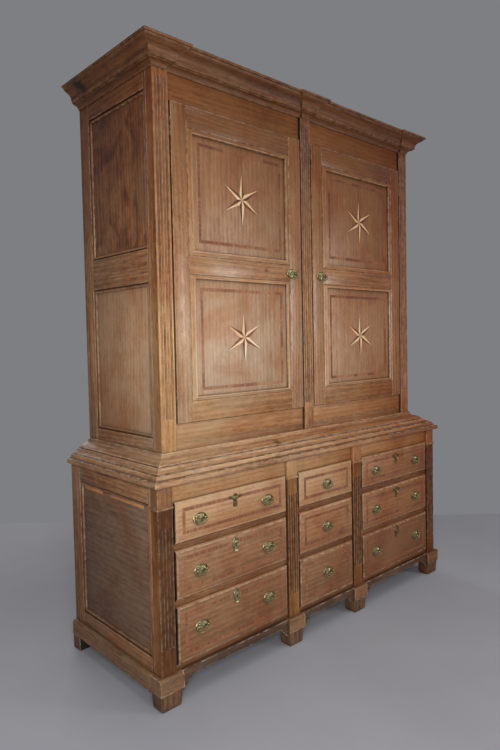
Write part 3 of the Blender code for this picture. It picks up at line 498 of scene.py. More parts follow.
for word, sign in side_words:
    frame_boards, panel_boards = new_piece(), new_piece()
    panel = f"base_{word}_panel"
    add_side(word, "base", [panel], frame_boards, panel_boards)
    panel_low, panel_high = case_box(panel)
    panel_front = panel_high.x if sign > 0 else panel_low.x
    strip = sorted((panel_front - sign * 0.001, panel_front + sign * 0.0012))
    strip_top = panel_high.z - groove_depth - 0.005
    for start, end in bare_strips:
        add_board(panel_boards, (strip[0], start, strip_top - bare_strip_height),
                  (strip[1], end, strip_top), 1, edge=0.0003, tone=0.3, finish=1)
    for row in drawer_rows:
        drawer_low, drawer_high = case_box(f"{word}_{row}_drawer")
        drawer_edge = drawer_high.x if sign > 0 else drawer_low.x
        floor_level = drawer_low.z - slide_clearance
        ledge = sorted((sign * runner_wall, drawer_edge - sign * 0.012))
        guide = sorted((sign * runner_wall, drawer_edge + sign * 0.001))
        add_board(frame_boards, (ledge[0], runner_front, floor_level - runner_thickness),
                  (ledge[1], runner_back, floor_level), 1)
        add_board(frame_boards, (guide[0], runner_front, floor_level),
                  (guide[1], runner_back, floor_level + guide_height), 1)
    make_piece(f"base_{word}_side_boards", frame_boards, "case", [side_oak],
               [f"base_{word}_frame"])
    make_piece(f"base_{word}_side_panel", panel_boards, "case", [base_side_oak, bare_oak],
               [panel])

# Partitions, base top and base back
# Two upright boards with runners part the columns of drawers, and a top board ties them. The back is closed
# with wide vertical boards nailed on. All of it is dry unwaxed oak, paler and duller than the front.
dry_colours = ("a98a68", "8f7152", "6a4f37", "857462")
dry_uprights = oak("dry_oak_uprights", *dry_colours, along="Y", wear=0.3, fading=0.0)
dry_boards = oak("dry_oak_boards", *dry_colours, along="X", wear=0.3, fading=0.0)
dry_oak = oak("dry_oak_backs", "9d7f60", "83684d", "5b4431", "7b6b5b", wear=0.35, fading=0.0)
board_gap = 0.0004
worn_edge = 0.0018


def refinish(node, finish):
    """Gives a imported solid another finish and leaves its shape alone."""
    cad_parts[node].data.materials.clear()
    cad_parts[node].data.materials.append(finish)


refinish("left_partition", dry_uprights)
refinish("right_partition", dry_uprights)
refinish("base_top", dry_boards)


def add_back(node, count):
    """A back of vertical boards, each a little different in tone and in how far it stands out."""
    low, high = case_box(node)
    boards = new_piece()
    width = (high.x - low.x) / count
    for number in range(count):
        left = low.x + number * width
        sunk = planks.uniform(0, 0.0012)
        add_board(boards, (left + board_gap, low.y + 0.0002, low.z),
                  (left + width - board_gap, high.y - sunk, high.z), 2, edge=worn_edge,
                  tone=planks.uniform(-0.35, 0.35))
    make_piece(f"{node}_planks", boards, "case", [dry_oak], [node])


add_back("base_back", 6)

# Base face frame
# Four pilasters, fluted and stopped, carry the rails between the drawers. Each has a plain pedestal below,
# a small astragal near the top and a square block over it, all worked in the solid oak and waxed.
front_oak = oak("waxed_oak_front", "a47448", "8b5d36", "6a4325", "8c6a47", wear=0.8, gloss=0.08,
                shine=0.35, dirt=0.4)
base_pilaster_oak = oak("waxed_oak_base_pilaster", "9e6e40", "7c4f2a", "4c2d17", "7b5531", wear=0.3,
                        fading=0.0, shine=0.2, dirt=0.5)
face_low, face_high = case_box("base_face_frame")
base_half = face_high.x
rail_face = 0.010
rail_back = 0.040
eased_edge = 0.0014
block_foot = face_high.z - 0.062
astragal_foot = block_foot - 0.008
flute_pitch = 0.0122
flute_radius = 0.0048
flute_depth = 0.0036


def add_pilaster(piece, left, right, near, far, low, high, flute_low, flute_high, tone, flute_grime,
                 side_tones):
    """A board with four stopped flutes worked down its face, as a fine net of faces before a plain back.

    Old wax and dust have filled the flutes with brown, with painted shade that darkens them more the deeper
    they go, and the ridges between them are rubbed pale. A side may have two tones of its own, beside the
    flutes and below them.
    """
    mouth = math.sqrt(flute_radius ** 2 - (flute_radius - flute_depth) ** 2)
    ease_width = 0.0014
    shares = (-1, -0.92, -0.75, -0.4, 0, 0.4, 0.75, 0.92, 1)
    centres = [(left + right) / 2 + (number - 1.5) * flute_pitch for number in range(4)]
    columns = [left, left + ease_width]
    columns += [centre + share * mouth for centre in centres for share in shares]
    columns += [right - ease_width, right]
    stops = (0, 0.08, 0.25, 0.6, 1)
    rows = [low, low + ease_width] + [flute_low + stop * mouth for stop in stops]
    rows += [flute_high - stop * mouth for stop in reversed(stops)] + [high - ease_width, high]

    def sunk(x, z):
        nearest = min(abs(x - centre) for centre in centres)
        past = max(flute_low + mouth - z, z - (flute_high - mouth), 0)
        inside = flute_radius ** 2 - nearest ** 2 - past ** 2
        depth = max(math.sqrt(max(inside, 0)) - (flute_radius - flute_depth), 0)
        return depth + (ease_width if x in (left, right) else 0)

    def flute_dust_and_shade(point):
        if point.y > near + 0.0005:
            for side, (beside, below) in side_tones.items():
                if abs(point.x - side) < 1e-5:
                    return beside if point.z > flute_low - 0.001 else below
        if not flute_low < point.z < flute_high or point.y > near + flute_depth + 0.001:
            return 0
        depth = max(point.y - near, 0)
        return 0.15 if depth < 0.0002 else -flute_grime * min(depth / (0.6 * flute_depth), 1)

    chunk = bmesh.new()
    net = [[chunk.verts.new((x, near + sunk(x, z), z)) for x in columns] for z in rows]
    for lower, upper in zip(net, net[1:]):
        for spot in range(len(columns) - 1):
            chunk.faces.new((lower[spot], lower[spot + 1], upper[spot + 1], upper[spot]))
    corners = ((left, low), (right, low), (right, high), (left, high))
    back = [chunk.verts.new((x, far, z)) for x, z in corners]
    chunk.faces.new(back)
    chunk.faces.new(net[0] + [back[1], back[0]])
    chunk.faces.new(net[-1] + [back[2], back[3]])
    chunk.faces.new([row[0] for row in net] + [back[3], back[0]])
    chunk.faces.new([row[-1] for row in net] + [back[2], back[1]])
    add_chunk(piece, chunk, 2, lambda point: tone + flute_dust_and_shade(point), finish=1)


face_frame = new_piece()
corner_stile = 0.056
middle_stile = 0.053
centre_opening = 0.337
pedestal_height = 0.084
plain_top = 0.058
astragal_back = -0.030
inner_stile = (centre_opening / 2, centre_opening / 2 + middle_stile)
stiles = [(-base_half, -base_half + corner_stile), (-inner_stile[1], -inner_stile[0]), inner_stile,
          (base_half - corner_stile, base_half)]
block_tones = (-0.4, 0.7, 0.35, 0.15)
shaft_tones = (-0.65, 0.0, -0.1, -0.3)
base_side_tones = {-base_half: (0.65, 0.65), base_half: (0.3, 0.3)}
for (left, right), block_tone, shaft_tone in zip(stiles, block_tones, shaft_tones):
    add_pilaster(face_frame, left, right, 0, rail_back, face_low.z, astragal_foot,
                 face_low.z + pedestal_height, astragal_foot - plain_top, tone=shaft_tone, flute_grime=0.5,
                 side_tones=base_side_tones)
    add_board(face_frame, (left, 0, block_foot), (right, rail_back, face_high.z), 2, edge=eased_edge,
              tone=block_tone)
    bulge = [(astragal_back, astragal_foot), (0, astragal_foot)]
    bulge += bend((0.001, astragal_foot), (0.0075, astragal_foot + 0.004), (0.001, block_foot), 6)
    bulge += [(0, block_foot), (astragal_back, block_foot)]
    returned = [(left, 0), (right, 0)]
    if left == -base_half:
        returned.insert(0, (left, rail_back))
    if right == base_half:
        returned.append((right, rail_back))
    add_runs(face_frame, returned, bulge, (0, 1, 2), tone=block_tone)
drawer_headroom = 0.002
row_levels = [(face_low.z, case_box("left_bottom_drawer")[0].z - slide_clearance)]
for lower_row, upper_row in zip(drawer_rows, drawer_rows[1:]):
    row_levels.append((case_box(f"left_{lower_row}_drawer")[1].z + drawer_headroom,
                       case_box(f"left_{upper_row}_drawer")[0].z - slide_clearance))
row_levels.append((case_box("left_top_drawer")[1].z + drawer_headroom, face_high.z))
# The top rail, under the waist's nose, takes a paler tone as painted light
for (_, left), (right, _) in zip(stiles, stiles[1:]):
    for foot, top in row_levels:
        tone = planks.uniform(-0.8, -0.4) + (1.0 if top == face_high.z else 0)
        add_board(face_frame, (left, rail_face, foot), (right, rail_back, top), 0, eased_edge, tone)
make_piece("base_pilasters_and_rails", face_frame, "case", [front_oak, base_pilaster_oak],
           ["base_face_frame"])

# Drawers
# Nine oak drawers, each a thick front with a thumb moulding worked round its edge and a reddish crossband
# let into its face, on a box of thin oak sides, a back and a bottom. Fronts stand flush with the pilasters.
drawer_oak = oak("waxed_oak_drawer", "a97f57", "936847", "755338", "92724f", wear=0.9, gloss=0.08,
                 shine=0.35, dirt=0.4)
crossband = oak("crossband_veneer", "9c6c48", "835234", "683c28", "86593b", wear=0.1, fading=0.6)
drawer_face = 0.001
drawer_front_back = 0.023
drawer_wall = 0.012
front_clearance = 0.0017
front_rise = 0.0011
band_width = 0.011
veneer_length = 0.050
veneer_proud = 0.0004
veneer_depth = 0.002
thumb_width = 0.009
# From the edge of the front inwards, with the depth behind its face
thumb = bend((0, 0.0078), (0.0006, 0.0022), (0.0066, 0.0017), 6)
thumb += [(0.0066, 0.0017), (0.0070, 0.0002), (thumb_width, 0)]
thumb_profile = [(0, drawer_front_back)] + [(inwards, drawer_face + depth) for inwards, depth in thumb]
thumb_profile.append((thumb_width, drawer_front_back))


def add_crossband(piece, left, right, foot, top, width, face, change):
    """Four mitred strips of veneer round a rectangle, pieced from short lengths cut across the grain."""
    inner = (left + width, right - width, foot + width, top - width)
    strips = ((0, [(left, foot), (left, top), (inner[0], inner[3]), (inner[0], inner[2])]),
              (0, [(right, top), (right, foot), (inner[1], inner[2]), (inner[1], inner[3])]),
              (2, [(left, top), (right, top), (inner[1], inner[3]), (inner[0], inner[3])]),
              (2, [(right, foot), (left, foot), (inner[0], inner[2]), (inner[1], inner[2])]))
    for along, outline in strips:
        start, end, inner_end, inner_start = (Vector(corner) for corner in outline)
        count = max(round((end - start).length / veneer_length), 2)
        cuts = [(number + planks.uniform(-0.35, 0.35)) / count for number in range(1, count)]
        cuts = [0.0] + cuts + [1.0]
        for before, after in zip(cuts, cuts[1:]):
            length = [start.lerp(end, before), start.lerp(end, after), inner_start.lerp(inner_end, after),
                      inner_start.lerp(inner_end, before)]
            strip = sawn(length, face - veneer_proud, face + veneer_depth)
            add_chunk(piece, strip, along, planks.uniform(-change, change))


def rim_wear_and_gap_shade(gap_tone, rubbed, tone):
    """A tone for one edge of a front: rubbed near the face, painted shade in the gap and plain behind it.
    """
    def place_tone(point):
        if point.y > drawer_front_back - 0.001:
            return -0.4
        return tone + 0.15 if point.y < drawer_face + rubbed else gap_tone
    return place_tone


drawer_tones = {"left": {"bottom": -0.35, "middle": -0.20, "top": 0.30},
                "centre": {"bottom": -0.35, "middle": 0.10, "top": 0.45},
                "right": {"bottom": -0.65, "middle": 0.0, "top": -0.10}}
# How dark the painted shade in the gap is at each edge, and how far its face is rubbed: left end, top,
# right end and foot
rim_gap_shade = ((-3.2, 0.0022), (0.0, 0.0029), (-2.3, 0.0029), (-0.8, 0.0029))
for column, tones in drawer_tones.items():
    for row in drawer_rows:
        name = f"{column}_{row}_drawer"
        low, high = case_box(name)
        foot = low.z + front_clearance
        brow = high.z + front_rise
        front = new_piece()
        add_board(front, (low.x + thumb_width, drawer_face, foot + thumb_width),
                  (high.x - thumb_width, drawer_front_back, brow - thumb_width), 0, edge=0.0001,
                  tone=tones[row])
        rim = [(low.x, foot), (low.x, brow), (high.x, brow), (high.x, foot)]
        add_runs(front, rim, thumb_profile, (0, 2, 1), closed=True,
                 tone=[rim_wear_and_gap_shade(gap_tone, rubbed, tones[row]) for gap_tone, rubbed in rim_gap_shade])
        make_piece(f"{name}_front", front, name, [drawer_oak], [name])
        bands = new_piece()
        add_crossband(bands, low.x + 0.030, high.x - 0.028, foot + 0.026, high.z - 0.023, band_width,
                      drawer_face, change=0.25)
        make_piece(f"{name}_crossband", bands, name, [crossband])
        box = new_piece()
        wall_top = high.z - 0.012
        for left in (low.x, high.x - drawer_wall):
            add_board(box, (left, drawer_front_back, low.z), (left + drawer_wall, high.y, wall_top), 1,
                      edge=planed_edge)
        inner_left, inner_right = low.x + drawer_wall, high.x - drawer_wall
        inner_back = high.y - drawer_wall
        add_board(box, (inner_left, inner_back, low.z), (inner_right, high.y, wall_top), 0, planed_edge)
        add_board(box, (inner_left, drawer_front_back, low.z + 0.008),
                  (inner_right, inner_back, low.z + 0.016), 0, edge=crisp_edge)
        make_piece(f"{name}_box", box, name, [dry_oak])

# Handles
# Every handle is an oval plate of stamped brass with a beaded rim and a flower in the middle, two turned
# posts through it and a drop bail hung between them. The brass is dull and greenish, bright where rubbed.


def old_brass(name, bright, dull):
    """Stamped brass with old lacquer: yellow on the high parts, olive and dark in the hollows."""
    material, tree, shader, place = new_finish(name)
    clouds = add_node(tree, "TexNoise", {"Vector": place, "Scale": 90.0, "Detail": 4.0}).outputs["Fac"]
    hollows = add_node(tree, "AmbientOcclusion", {"Distance": 0.006}, samples=6).outputs["AO"]
    colour = lay_over(tree, linear(bright), clouds, 0.35, 0.68, 1.0, linear(dull))
    colour = lay_over(tree, colour, hollows, 0.92, 0.45, 0.9, linear("2a2216"))
    tree.links.new(colour, shader.inputs["Base Color"])
    gloss = add_node(tree, "MapRange", {"Value": clouds, "From Min": 0.3, "From Max": 0.7,
                                        "To Min": 0.32, "To Max": 0.50}).outputs[0]
    tree.links.new(gloss, shader.inputs["Roughness"])
    bump = add_node(tree, "Bump", {"Strength": 0.15, "Distance": 0.0003, "Height": clouds})
    tree.links.new(bump.outputs["Normal"], shader.inputs["Normal"])
    shader.inputs["Metallic"].default_value = 1.0
    return material


brass = old_brass("old_brass", "bcaf80", "787050")
plate_half_width = 0.028
plate_half_height = 0.0175
post_spacing = 0.040
pivot_standoff = 0.0085
bail_wire = 0.0016
bail_half = 0.0272
bail_drop = 0.0205


def round_angles(count, start=0.0):
    """Angles evenly spaced round a circle."""
    return [2 * math.pi * (number + start) / count for number in range(count)]


def turned(profile, centre):
    """A turned piece standing out of the front: a profile of (radius, height) round a centre."""
    rings = []
    for radius, height in profile:
        rings.append([(centre[0] + radius * math.cos(angle), -height, centre[1] + radius * math.sin(angle))
                      for angle in round_angles(16)])
    return skinned(rings)


def stamped_plate():
    """The oval plate with its rim, flutes and flower."""
    shares = (1.0, 1.0, 0.97, 0.93, 0.89, 0.85, 0.78, 0.68, 0.58, 0.50, 0.42, 0.34, 0.27, 0.20, 0.12, 0.05)
    edge_heights = {0: 0.0, 1: 0.0006}
    rings = []
    for number, share in enumerate(shares):
        ring = []
        for angle in round_angles(72):
            beads = math.exp(-((share - 0.92) / 0.045) ** 2) * (0.75 + 0.25 * math.cos(36 * angle))
            petals = math.exp(-((share - 0.42) / 0.16) ** 2) * (0.45 + 0.55 * math.cos(12 * angle))
            boss = math.exp(-(share / 0.16) ** 2)
            height = edge_heights.get(number, 0.0010 + 0.0016 * (beads + petals + boss))
            ring.append((share * plate_half_width * math.cos(angle), -height,
                         share * plate_half_height * math.sin(angle)))
        rings.append(ring)
    return skinned(rings)


def handle_plate():
    """Plate and posts of one handle, drawn round its own middle."""
    piece = new_piece()
    add_chunk(piece, stamped_plate(), 0)
    post = ((0.0054, 0.0002), (0.0054, 0.0018), (0.0046, 0.0026), (0.0034, 0.0032), (0.0032, 0.0054),
            (0.0036, 0.0064), (0.0044, 0.0073), (0.0046, 0.0090), (0.0042, 0.0107), (0.0028, 0.0120),
            (0.0010, 0.0125))
    for side in (-1, 1):
        add_chunk(piece, turned(post, (side * post_spacing / 2, 0)), 1)
    return piece


def drop_bail():
    """The bail: a cast wire swelling towards its middle, its ends turned in through the posts."""
    half, drop = bail_half, bail_drop
    turn = 0.0025
    tip = post_spacing / 2 - 0.0036
    points = [(-tip, 0), (-half + turn, 0), (-half + 0.3 * turn, -0.3 * turn)]
    steps = 28
    for step in range(steps + 1):
        angle = math.pi + math.pi * step / steps
        points.append((half * math.cos(angle), -turn + (drop - turn) * math.sin(angle)))
    points += [(half - 0.3 * turn, -0.3 * turn), (half - turn, 0), (tip, 0)]
    rings = []
    for index, (x, z) in enumerate(points):
        before, after = points[max(index - 1, 0)], points[min(index + 1, len(points) - 1)]
        along = Vector((after[0] - before[0], 0, after[1] - before[1])).normalized()
        across = Vector((along.z, 0, -along.x))
        share = min(index, len(points) - 1 - index) / (len(points) / 2)
        radius = bail_wire + 0.0007 * max(share - 0.35, 0) / 0.65
        ring = []
        for angle in round_angles(10):
            offset = radius * (math.cos(angle) * across + math.sin(angle) * Vector((0, 1, 0)))
            ring.append(Vector((x, 0, z)) + offset)
        rings.append(ring)
    piece = new_piece()
    add_chunk(piece, skinned(rings), 0)
    return piece


patterns = {}


def fit_brass(look, make, name, body, spot, finishes, nodes=()):
    """Fits a piece of brass: the first of its look is made, and the others are copies of it."""
    if look in patterns:
        fit(name, patterns[look], body, nodes, spot)
    else:
        patterns[look] = make_piece(name, make(), body, finishes, nodes, spot)


for node in sorted(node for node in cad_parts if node.endswith("_bail")):
    carrier = node.replace("_left_bail", "").replace("_right_bail", "").replace("_bail", "")
    low, high = case_box(node)
    pivot = Vector(((low.x + high.x) / 2, (low.y + high.y) / 2, high.z - bail_wire))
    plate_spot = (pivot.x, pivot.y + pivot_standoff, pivot.z)
    fit_brass("plate", handle_plate, node.replace("_bail", "_handle_plate"), carrier, plate_spot, [brass])
    fit_brass("bail", drop_bail, f"{node}_cast", node, pivot, [brass], [node])

# Keyhole plates
# Plates of the same brass round the locks of the outer drawers, cast and filed to shape: three browned
# winged shields and three urns, two of them bright. Behind each keyhole a sheet of dark iron stands for
# the lock and is painted shade for the dark inside the keyhole.


def dark_iron(name):
    """Wrought iron gone black-brown: dull, a little rough, rust-brown in patches."""
    material, tree, shader, place = new_finish(name)
    clouds = add_node(tree, "TexNoise", {"Vector": place, "Scale": 60.0, "Detail": 4.0}).outputs["Fac"]
    ramp = add_node(tree, "ValToRGB", {"Fac": clouds})
    ramp.color_ramp.elements[0].position = 0.35
    ramp.color_ramp.elements[0].color = linear("3f3934")
    ramp.color_ramp.elements[1].position = 0.70
    ramp.color_ramp.elements[1].color = linear("8a7461")
    tree.links.new(ramp.outputs["Color"], shader.inputs["Base Color"])
    gloss = add_node(tree, "MapRange", {"Value": clouds, "To Min": 0.45, "To Max": 0.75}).outputs[0]
    tree.links.new(gloss, shader.inputs["Roughness"])
    bump = add_node(tree, "Bump", {"Strength": 0.3, "Distance": 0.0004, "Height": clouds})
    tree.links.new(bump.outputs["Normal"], shader.inputs["Normal"])
    shader.inputs["Metallic"].default_value = 0.9
    return material


iron = dark_iron("dark_iron")
bronze = old_brass("browned_brass", "8a7850", "5a4c30")
keyhole_eye = 0.0034
keyhole_slot = 0.0017
keyhole_foot = -0.0095
eye_rise = 0.002
# Right-hand half of each outline, from the top down
winged_half = ((0.0, 0.0215), (0.0060, 0.0210), (0.0095, 0.0165), (0.0150, 0.0150), (0.0240, 0.0155),
               (0.0285, 0.0120), (0.0250, 0.0075), (0.0165, 0.0065), (0.0105, 0.0030), (0.0085, -0.0030),
               (0.0070, -0.0090), (0.0098, -0.0140), (0.0100, -0.0195), (0.0062, -0.0240), (0.0, -0.0255))
urn_half = ((0.0, 0.0270), (0.0036, 0.0258), (0.0046, 0.0225), (0.0050, 0.0195), (0.0105, 0.0180),
            (0.0150, 0.0120), (0.0168, 0.0040), (0.0158, -0.0040), (0.0115, -0.0105), (0.0098, -0.0145),
            (0.0128, -0.0190), (0.0112, -0.0245), (0.0052, -0.0272), (0.0, -0.0280))


def outline_reach(half, across, up):
    """How far an outline lies from the keyhole's middle in a direction given by its sine and cosine."""
    across = abs(across)
    for (x, z), (next_x, next_z) in zip(half, half[1:]):
        before, after = x * up - z * across, next_x * up - next_z * across
        if before <= 0 <= after or after <= 0 <= before:
            share = before / (before - after) if before != after else 0
            point = (x + share * (next_x - x), z + share * (next_z - z))
            if point[0] * across + point[1] * up > 0:
                return math.hypot(*point)
    return half[-1][1]


def keyhole_plate(half):
    """A pierced plate with a raised rim; the dark iron behind its keyhole is the lock and painted shade."""
    layers = ((0.0, 0.0001), (0.0, 0.0015), (0.10, 0.0021), (0.25, 0.0012), (0.66, 0.0012), (0.80, 0.0024),
              (0.94, 0.0020), (1.0, 0.0009), (1.0, 0.0001))
    rings = []
    for share, height in layers:
        ring = []
        for angle in round_angles(72, 0.5):
            across, up = math.cos(angle), math.sin(angle)
            eye = eye_rise * up + math.sqrt(keyhole_eye ** 2 - (eye_rise * across) ** 2)
            slot = keyhole_slot / max(abs(across), hairline)
            slot = min(slot, keyhole_foot / up if up < -hairline else 1)
            inner = max(eye, slot if up < 0 else 0)
            reach = inner + share * (outline_reach(half, across, up) - inner)
            ring.append((reach * across, -height, reach * up))
        rings.append(ring)
    piece = new_piece()
    add_chunk(piece, skinned(rings, looped=True), 0)
    add_board(piece, (-0.005, -0.0006, -0.0105), (0.005, 0.0002, 0.007), 2, edge=0.0001, finish=1)
    return piece


keyhole_drops = {"bottom": 0.0338, "middle": 0.0363, "top": 0.0373}
winged_bodies = ("left_top_drawer", "right_top_drawer", "right_middle_drawer")
bright_bodies = ("left_bottom_drawer", "left_middle_drawer")
for row in drawer_rows:
    for column, _ in side_words:
        body = f"{column}_{row}_drawer"
        low, high = case_box(body)
        spot = ((low.x + high.x) / 2, drawer_face, high.z - keyhole_drops[row])
        half = winged_half if body in winged_bodies else urn_half
        metal = brass if body in bright_bodies else bronze
        fit_brass((half, metal.name), lambda: keyhole_plate(half), f"{body}_keyhole_plate", body, spot,
                  [metal, iron])

# Waist moulding
# Where the smaller press stands on the base, three lengths of oak moulding mitred at the corners cover the
# ledge: a rounded nose over the base's top, two small beads with quirks beside them, then a long slope.
waist_oak = oak("worn_oak_waist", "b08258", "8f6340", "553722", "8f6f50", wear=0.95, worn="d6bd9c",
                gloss=0.05, knots=[((-0.2225, 0.0519 + front_plane, 0.766), 0.024, "5c331d")])
waist_high = case_box("waist_moulding")[1]
base_top_level = case_box("base_top")[1].z
press_half = case_box("press_face_frame")[1].x
press_front = case_box("press_face_frame")[0].y
waist_ledge = (base_half - press_half, press_front)
nose_foot = base_top_level - 0.018
waist_profile = [(0.0, base_top_level + 0.001), (1.004, base_top_level + 0.001), (1.004, nose_foot)]
waist_profile += bend((1.10, nose_foot), (1.215, nose_foot), (1.215, nose_foot + 0.009), 5)
waist_profile += bend((1.215, nose_foot + 0.009), (1.215, nose_foot + 0.018), (1.12, nose_foot + 0.0195), 5)
waist_profile += [(1.105, nose_foot + 0.0190), (1.095, nose_foot + 0.0205), (1.070, nose_foot + 0.0215)]
# From the nose up: a quirk, a bead, a hollow, a second bead, the long slope and a cove against the press
waist_slope = bend((1.055, 0.0045), (0.995, 0.0060), (0.985, 0.0125), 4)
waist_slope += bend((0.985, 0.0125), (0.990, 0.0175), (0.930, 0.0180), 5)
waist_slope += [(0.920, 0.0160), (0.895, 0.0170)]
waist_slope += bend((0.890, 0.0190), (0.780, 0.0230), (0.680, 0.0265), 5)
waist_slope += bend((0.675, 0.0285), (0.680, 0.0345), (0.605, 0.0350), 5)
waist_slope += [(0.595, 0.0325), (0.565, 0.0340)]
waist_slope += bend((0.555, 0.0385), (0.330, 0.0500), (0.150, 0.0520), 6)
waist_slope += bend((0.145, 0.0535), (0.090, 0.0550), (0.080, 0.0640), 4)
waist_slope += [(0.070, 0.0640), (0.070, 0.0680), (0.0, 0.0680)]
waist_profile += [(share, base_top_level + rise) for share, rise in waist_slope]
waist = new_piece()
press_path = [(-press_half, waist_high.y), (-press_half, press_front), (press_half, press_front),
              (press_half, waist_high.y)]


def waist_shade_and_wear(point):
    """Painted shade lies in the quirks, and the beads between them are rubbed pale."""
    out = max((abs(point.x) - press_half) / waist_ledge[0], (press_front - point.y) / waist_ledge[1])
    shaded_and_worn_parts = ((1.05, 1.11, -1.4), (0.885, 0.925, -1.4), (0.56, 0.60, -1.4), (0.93, 1.0, 0.2),
                  (0.60, 0.69, 0.2))
    for start, end, tone in shaded_and_worn_parts:
        if start < out < end:
            return tone
    return 0.0


add_runs(waist, press_path, waist_profile, (0, 1, 2), stretch=waist_ledge, tone=waist_shade_and_wear)
make_piece("waist_runs", waist, "case", [waist_oak], ["waist_moulding"])

# Press sides
# Each side of the press is a frame with two panels one above the other, made like the base's sides. The wax
# on the upper panels has darkened in swirls.
side_panel_oak = oak("aged_oak_side_panel", "a97c56", "9b6f4c", "825c3e", "906e50", wear=0.3)
stained_oak = oak("stained_oak_side_panel", "ac764a", "8a5c3a", "523421", "70583f", wear=0.3, swirl=0.75)
for word, _ in side_words:
    frame_boards, panel_boards = new_piece(), new_piece()
    panels = [f"press_{word}_lower_panel", f"press_{word}_upper_panel"]
    add_side(word, "press", panels, frame_boards, panel_boards)
    make_piece(f"press_{word}_side_boards", frame_boards, "case", [side_oak],
               [f"press_{word}_frame"])
    make_piece(f"press_{word}_side_panels", panel_boards, "case", [side_panel_oak, stained_oak],
               panels)

# Press face frame
# Three fluted pilasters from the waist to the cornice, a deep rail of two boards under the doors and a dark
# frieze over them, framed together in waxed oak.
pilaster_oak = oak("waxed_oak_pilaster", "ae7a46", "85552b", "472913", "835c38", wear=0.3, dirt=0.5)
frieze_oak = oak("dark_oak_frieze", "9b6d42", "7d542f", "4a2f19", "765635", wear=0.6, worn="b08a66",
                 shine=0.3)
press_low, press_high = case_box("press_face_frame")
press_face = press_front + 0.010
press_face_back = press_high.y
press_stile = 0.060
centre_half = 0.0275
waist_top = waist_high.z
cornice_foot = case_box("cornice")[0].z
sill = press_low.z + 0.1553
head = press_high.z - 0.134
pilaster_gap = 0.0003
press_frame = new_piece()
press_stiles = [(-press_half, -press_half + press_stile), (-centre_half, centre_half),
                (press_half - press_stile, press_half)]
for left, right in press_stiles:
    # The sides that face a door are made near black, painted shade in the gap beside the door
    gap_shade_sides = {side: (-3.0, -1.0) for side in (left, right) if abs(side) < press_half - 0.001}
    add_pilaster(press_frame, left, right, press_front, press_face_back, waist_top + pilaster_gap,
                 cornice_foot - pilaster_gap, waist_top + 0.106, cornice_foot - 0.020,
                 tone=planks.uniform(0.0, 0.2), flute_grime=0.35, side_tones=gap_shade_sides)
    add_board(press_frame, (left, press_face, press_low.z), (right, press_face_back, waist_top), 2,
              edge=crisp_edge)
    add_board(press_frame, (left, press_face, cornice_foot), (right, press_face_back, press_high.z), 2,
              edge=crisp_edge)
frieze = new_piece()
rail_joint = waist_top + 0.024
for (_, left), (right, _) in zip(press_stiles, press_stiles[1:]):
    # Grime has settled in the joint between the rail's two boards
    add_board(press_frame, (left, press_face, press_low.z), (right, press_face_back, rail_joint), 0,
              edge=0.0016, tone=-0.35)
    add_board(press_frame, (left, press_face, rail_joint), (right, press_face_back, sill), 0,
              edge=0.0016, tone=0.15)
    add_board(frieze, (left, press_face, head), (right, press_face_back, press_high.z), 0,
              edge=eased_edge, tone=0.3)
make_piece("press_pilasters_and_rails", press_frame, "case", [front_oak, pilaster_oak],
           ["press_face_frame"])
make_piece("press_frieze", frieze, "case", [frieze_oak])

# Press boards
# The bottom, the shelf and the top of the press are plain dry oak boards, and the back is nailed on in wide
# vertical boards like the base's.
for node in ("press_bottom_board", "shelf", "press_top_board"):
    refinish(node, dry_boards)
add_back("press_back", 5)

# Cornice
# Oak mouldings mitred round the top, breaking forward over each pilaster: a small bed moulding, a fillet, a
# wide hollow and a square edge. It catches little light and has kept its dark brown wax.
cornice_oak = oak("dark_oak_cornice", "a0754c", "815a39", "4d3421", "795d3e", wear=0.6, worn="b08a66",
                  knots=[((-0.757, 0.4868 + front_plane, 2.0792), 0.048, "17110c")])
cornice_high = case_box("cornice")[1]
reach = 0.068
rise = cornice_high.z - cornice_foot
edge_ease = 0.002
break_inset = 0.014
# Shares of the reach and of the rise, from the foot up
cornice_shares = [(0.0, 0.0), (0.05, 0.0)]
cornice_shares += bend((0.05, 0.03), (0.09, 0.20), (0.32, 0.22), 5)
cornice_shares += [(0.34, 0.22), (0.34, 0.26), (0.42, 0.27), (0.43, 0.34)]
cornice_shares += bend((0.45, 0.36), (0.46, 0.60), (0.68, 0.70), 5)
cornice_shares += bend((0.68, 0.70), (0.86, 0.78), (0.90, 0.84), 4)
cornice_shares += [(0.90, 0.87), (1.0, 0.88)]
cornice_profile = [(out * reach, cornice_foot + up * rise) for out, up in cornice_shares]
cornice_profile += [(reach, cornice_high.z - edge_ease), (reach - edge_ease, cornice_high.z),
                    (0.0, cornice_high.z)]
corner_break = press_half - press_stile + break_inset
centre_break = centre_half - break_inset
breaks = [(-press_half, press_front), (-corner_break, press_front), (-corner_break, press_face),
          (-centre_break, press_face), (-centre_break, press_front)]
breaks += [(-x, y) for x, y in reversed(breaks)]
cornice_path = [(-press_half, cornice_high.y)] + breaks + [(press_half, cornice_high.y)]
cornice = new_piece()
add_runs(cornice, cornice_path, cornice_profile, (0, 1, 2))
make_piece("cornice_runs", cornice, "case", [cornice_oak], ["cornice"])

# Doors
# Two doors of framed oak, each with two flat panels behind a mitred moulding. A crossband rectangle and a
# six-pointed star are let into every panel, the star's rays half pale and half brown.
door_oak = oak("waxed_oak_door", "ad8158", "966a48", "704d33", "937250", wear=0.8, gloss=0.24, dirt=0.6,
               knots=[((-0.2288, 0.087 + front_plane, 1.4115), 0.010, "5f3a22")])
panel_oak = oak("waxed_oak_panel", "a87f5a", "936b4c", "78583f", "8f7256", wear=0.3, gloss=0.14)
pale_inlay = oak("boxwood_inlay", "fbead2", "f5ddbd", "dab890", "ecd3b4", wear=0.0, fading=0.0)
brown_inlay = oak("walnut_inlay", "80522e", "633c20", "482a14", "603c22", wear=0.0)
door_face = press_front
door_back = door_face + 0.026
panel_face = door_face + 0.004
panel_thickness = 0.010
moulding_width = 0.0235
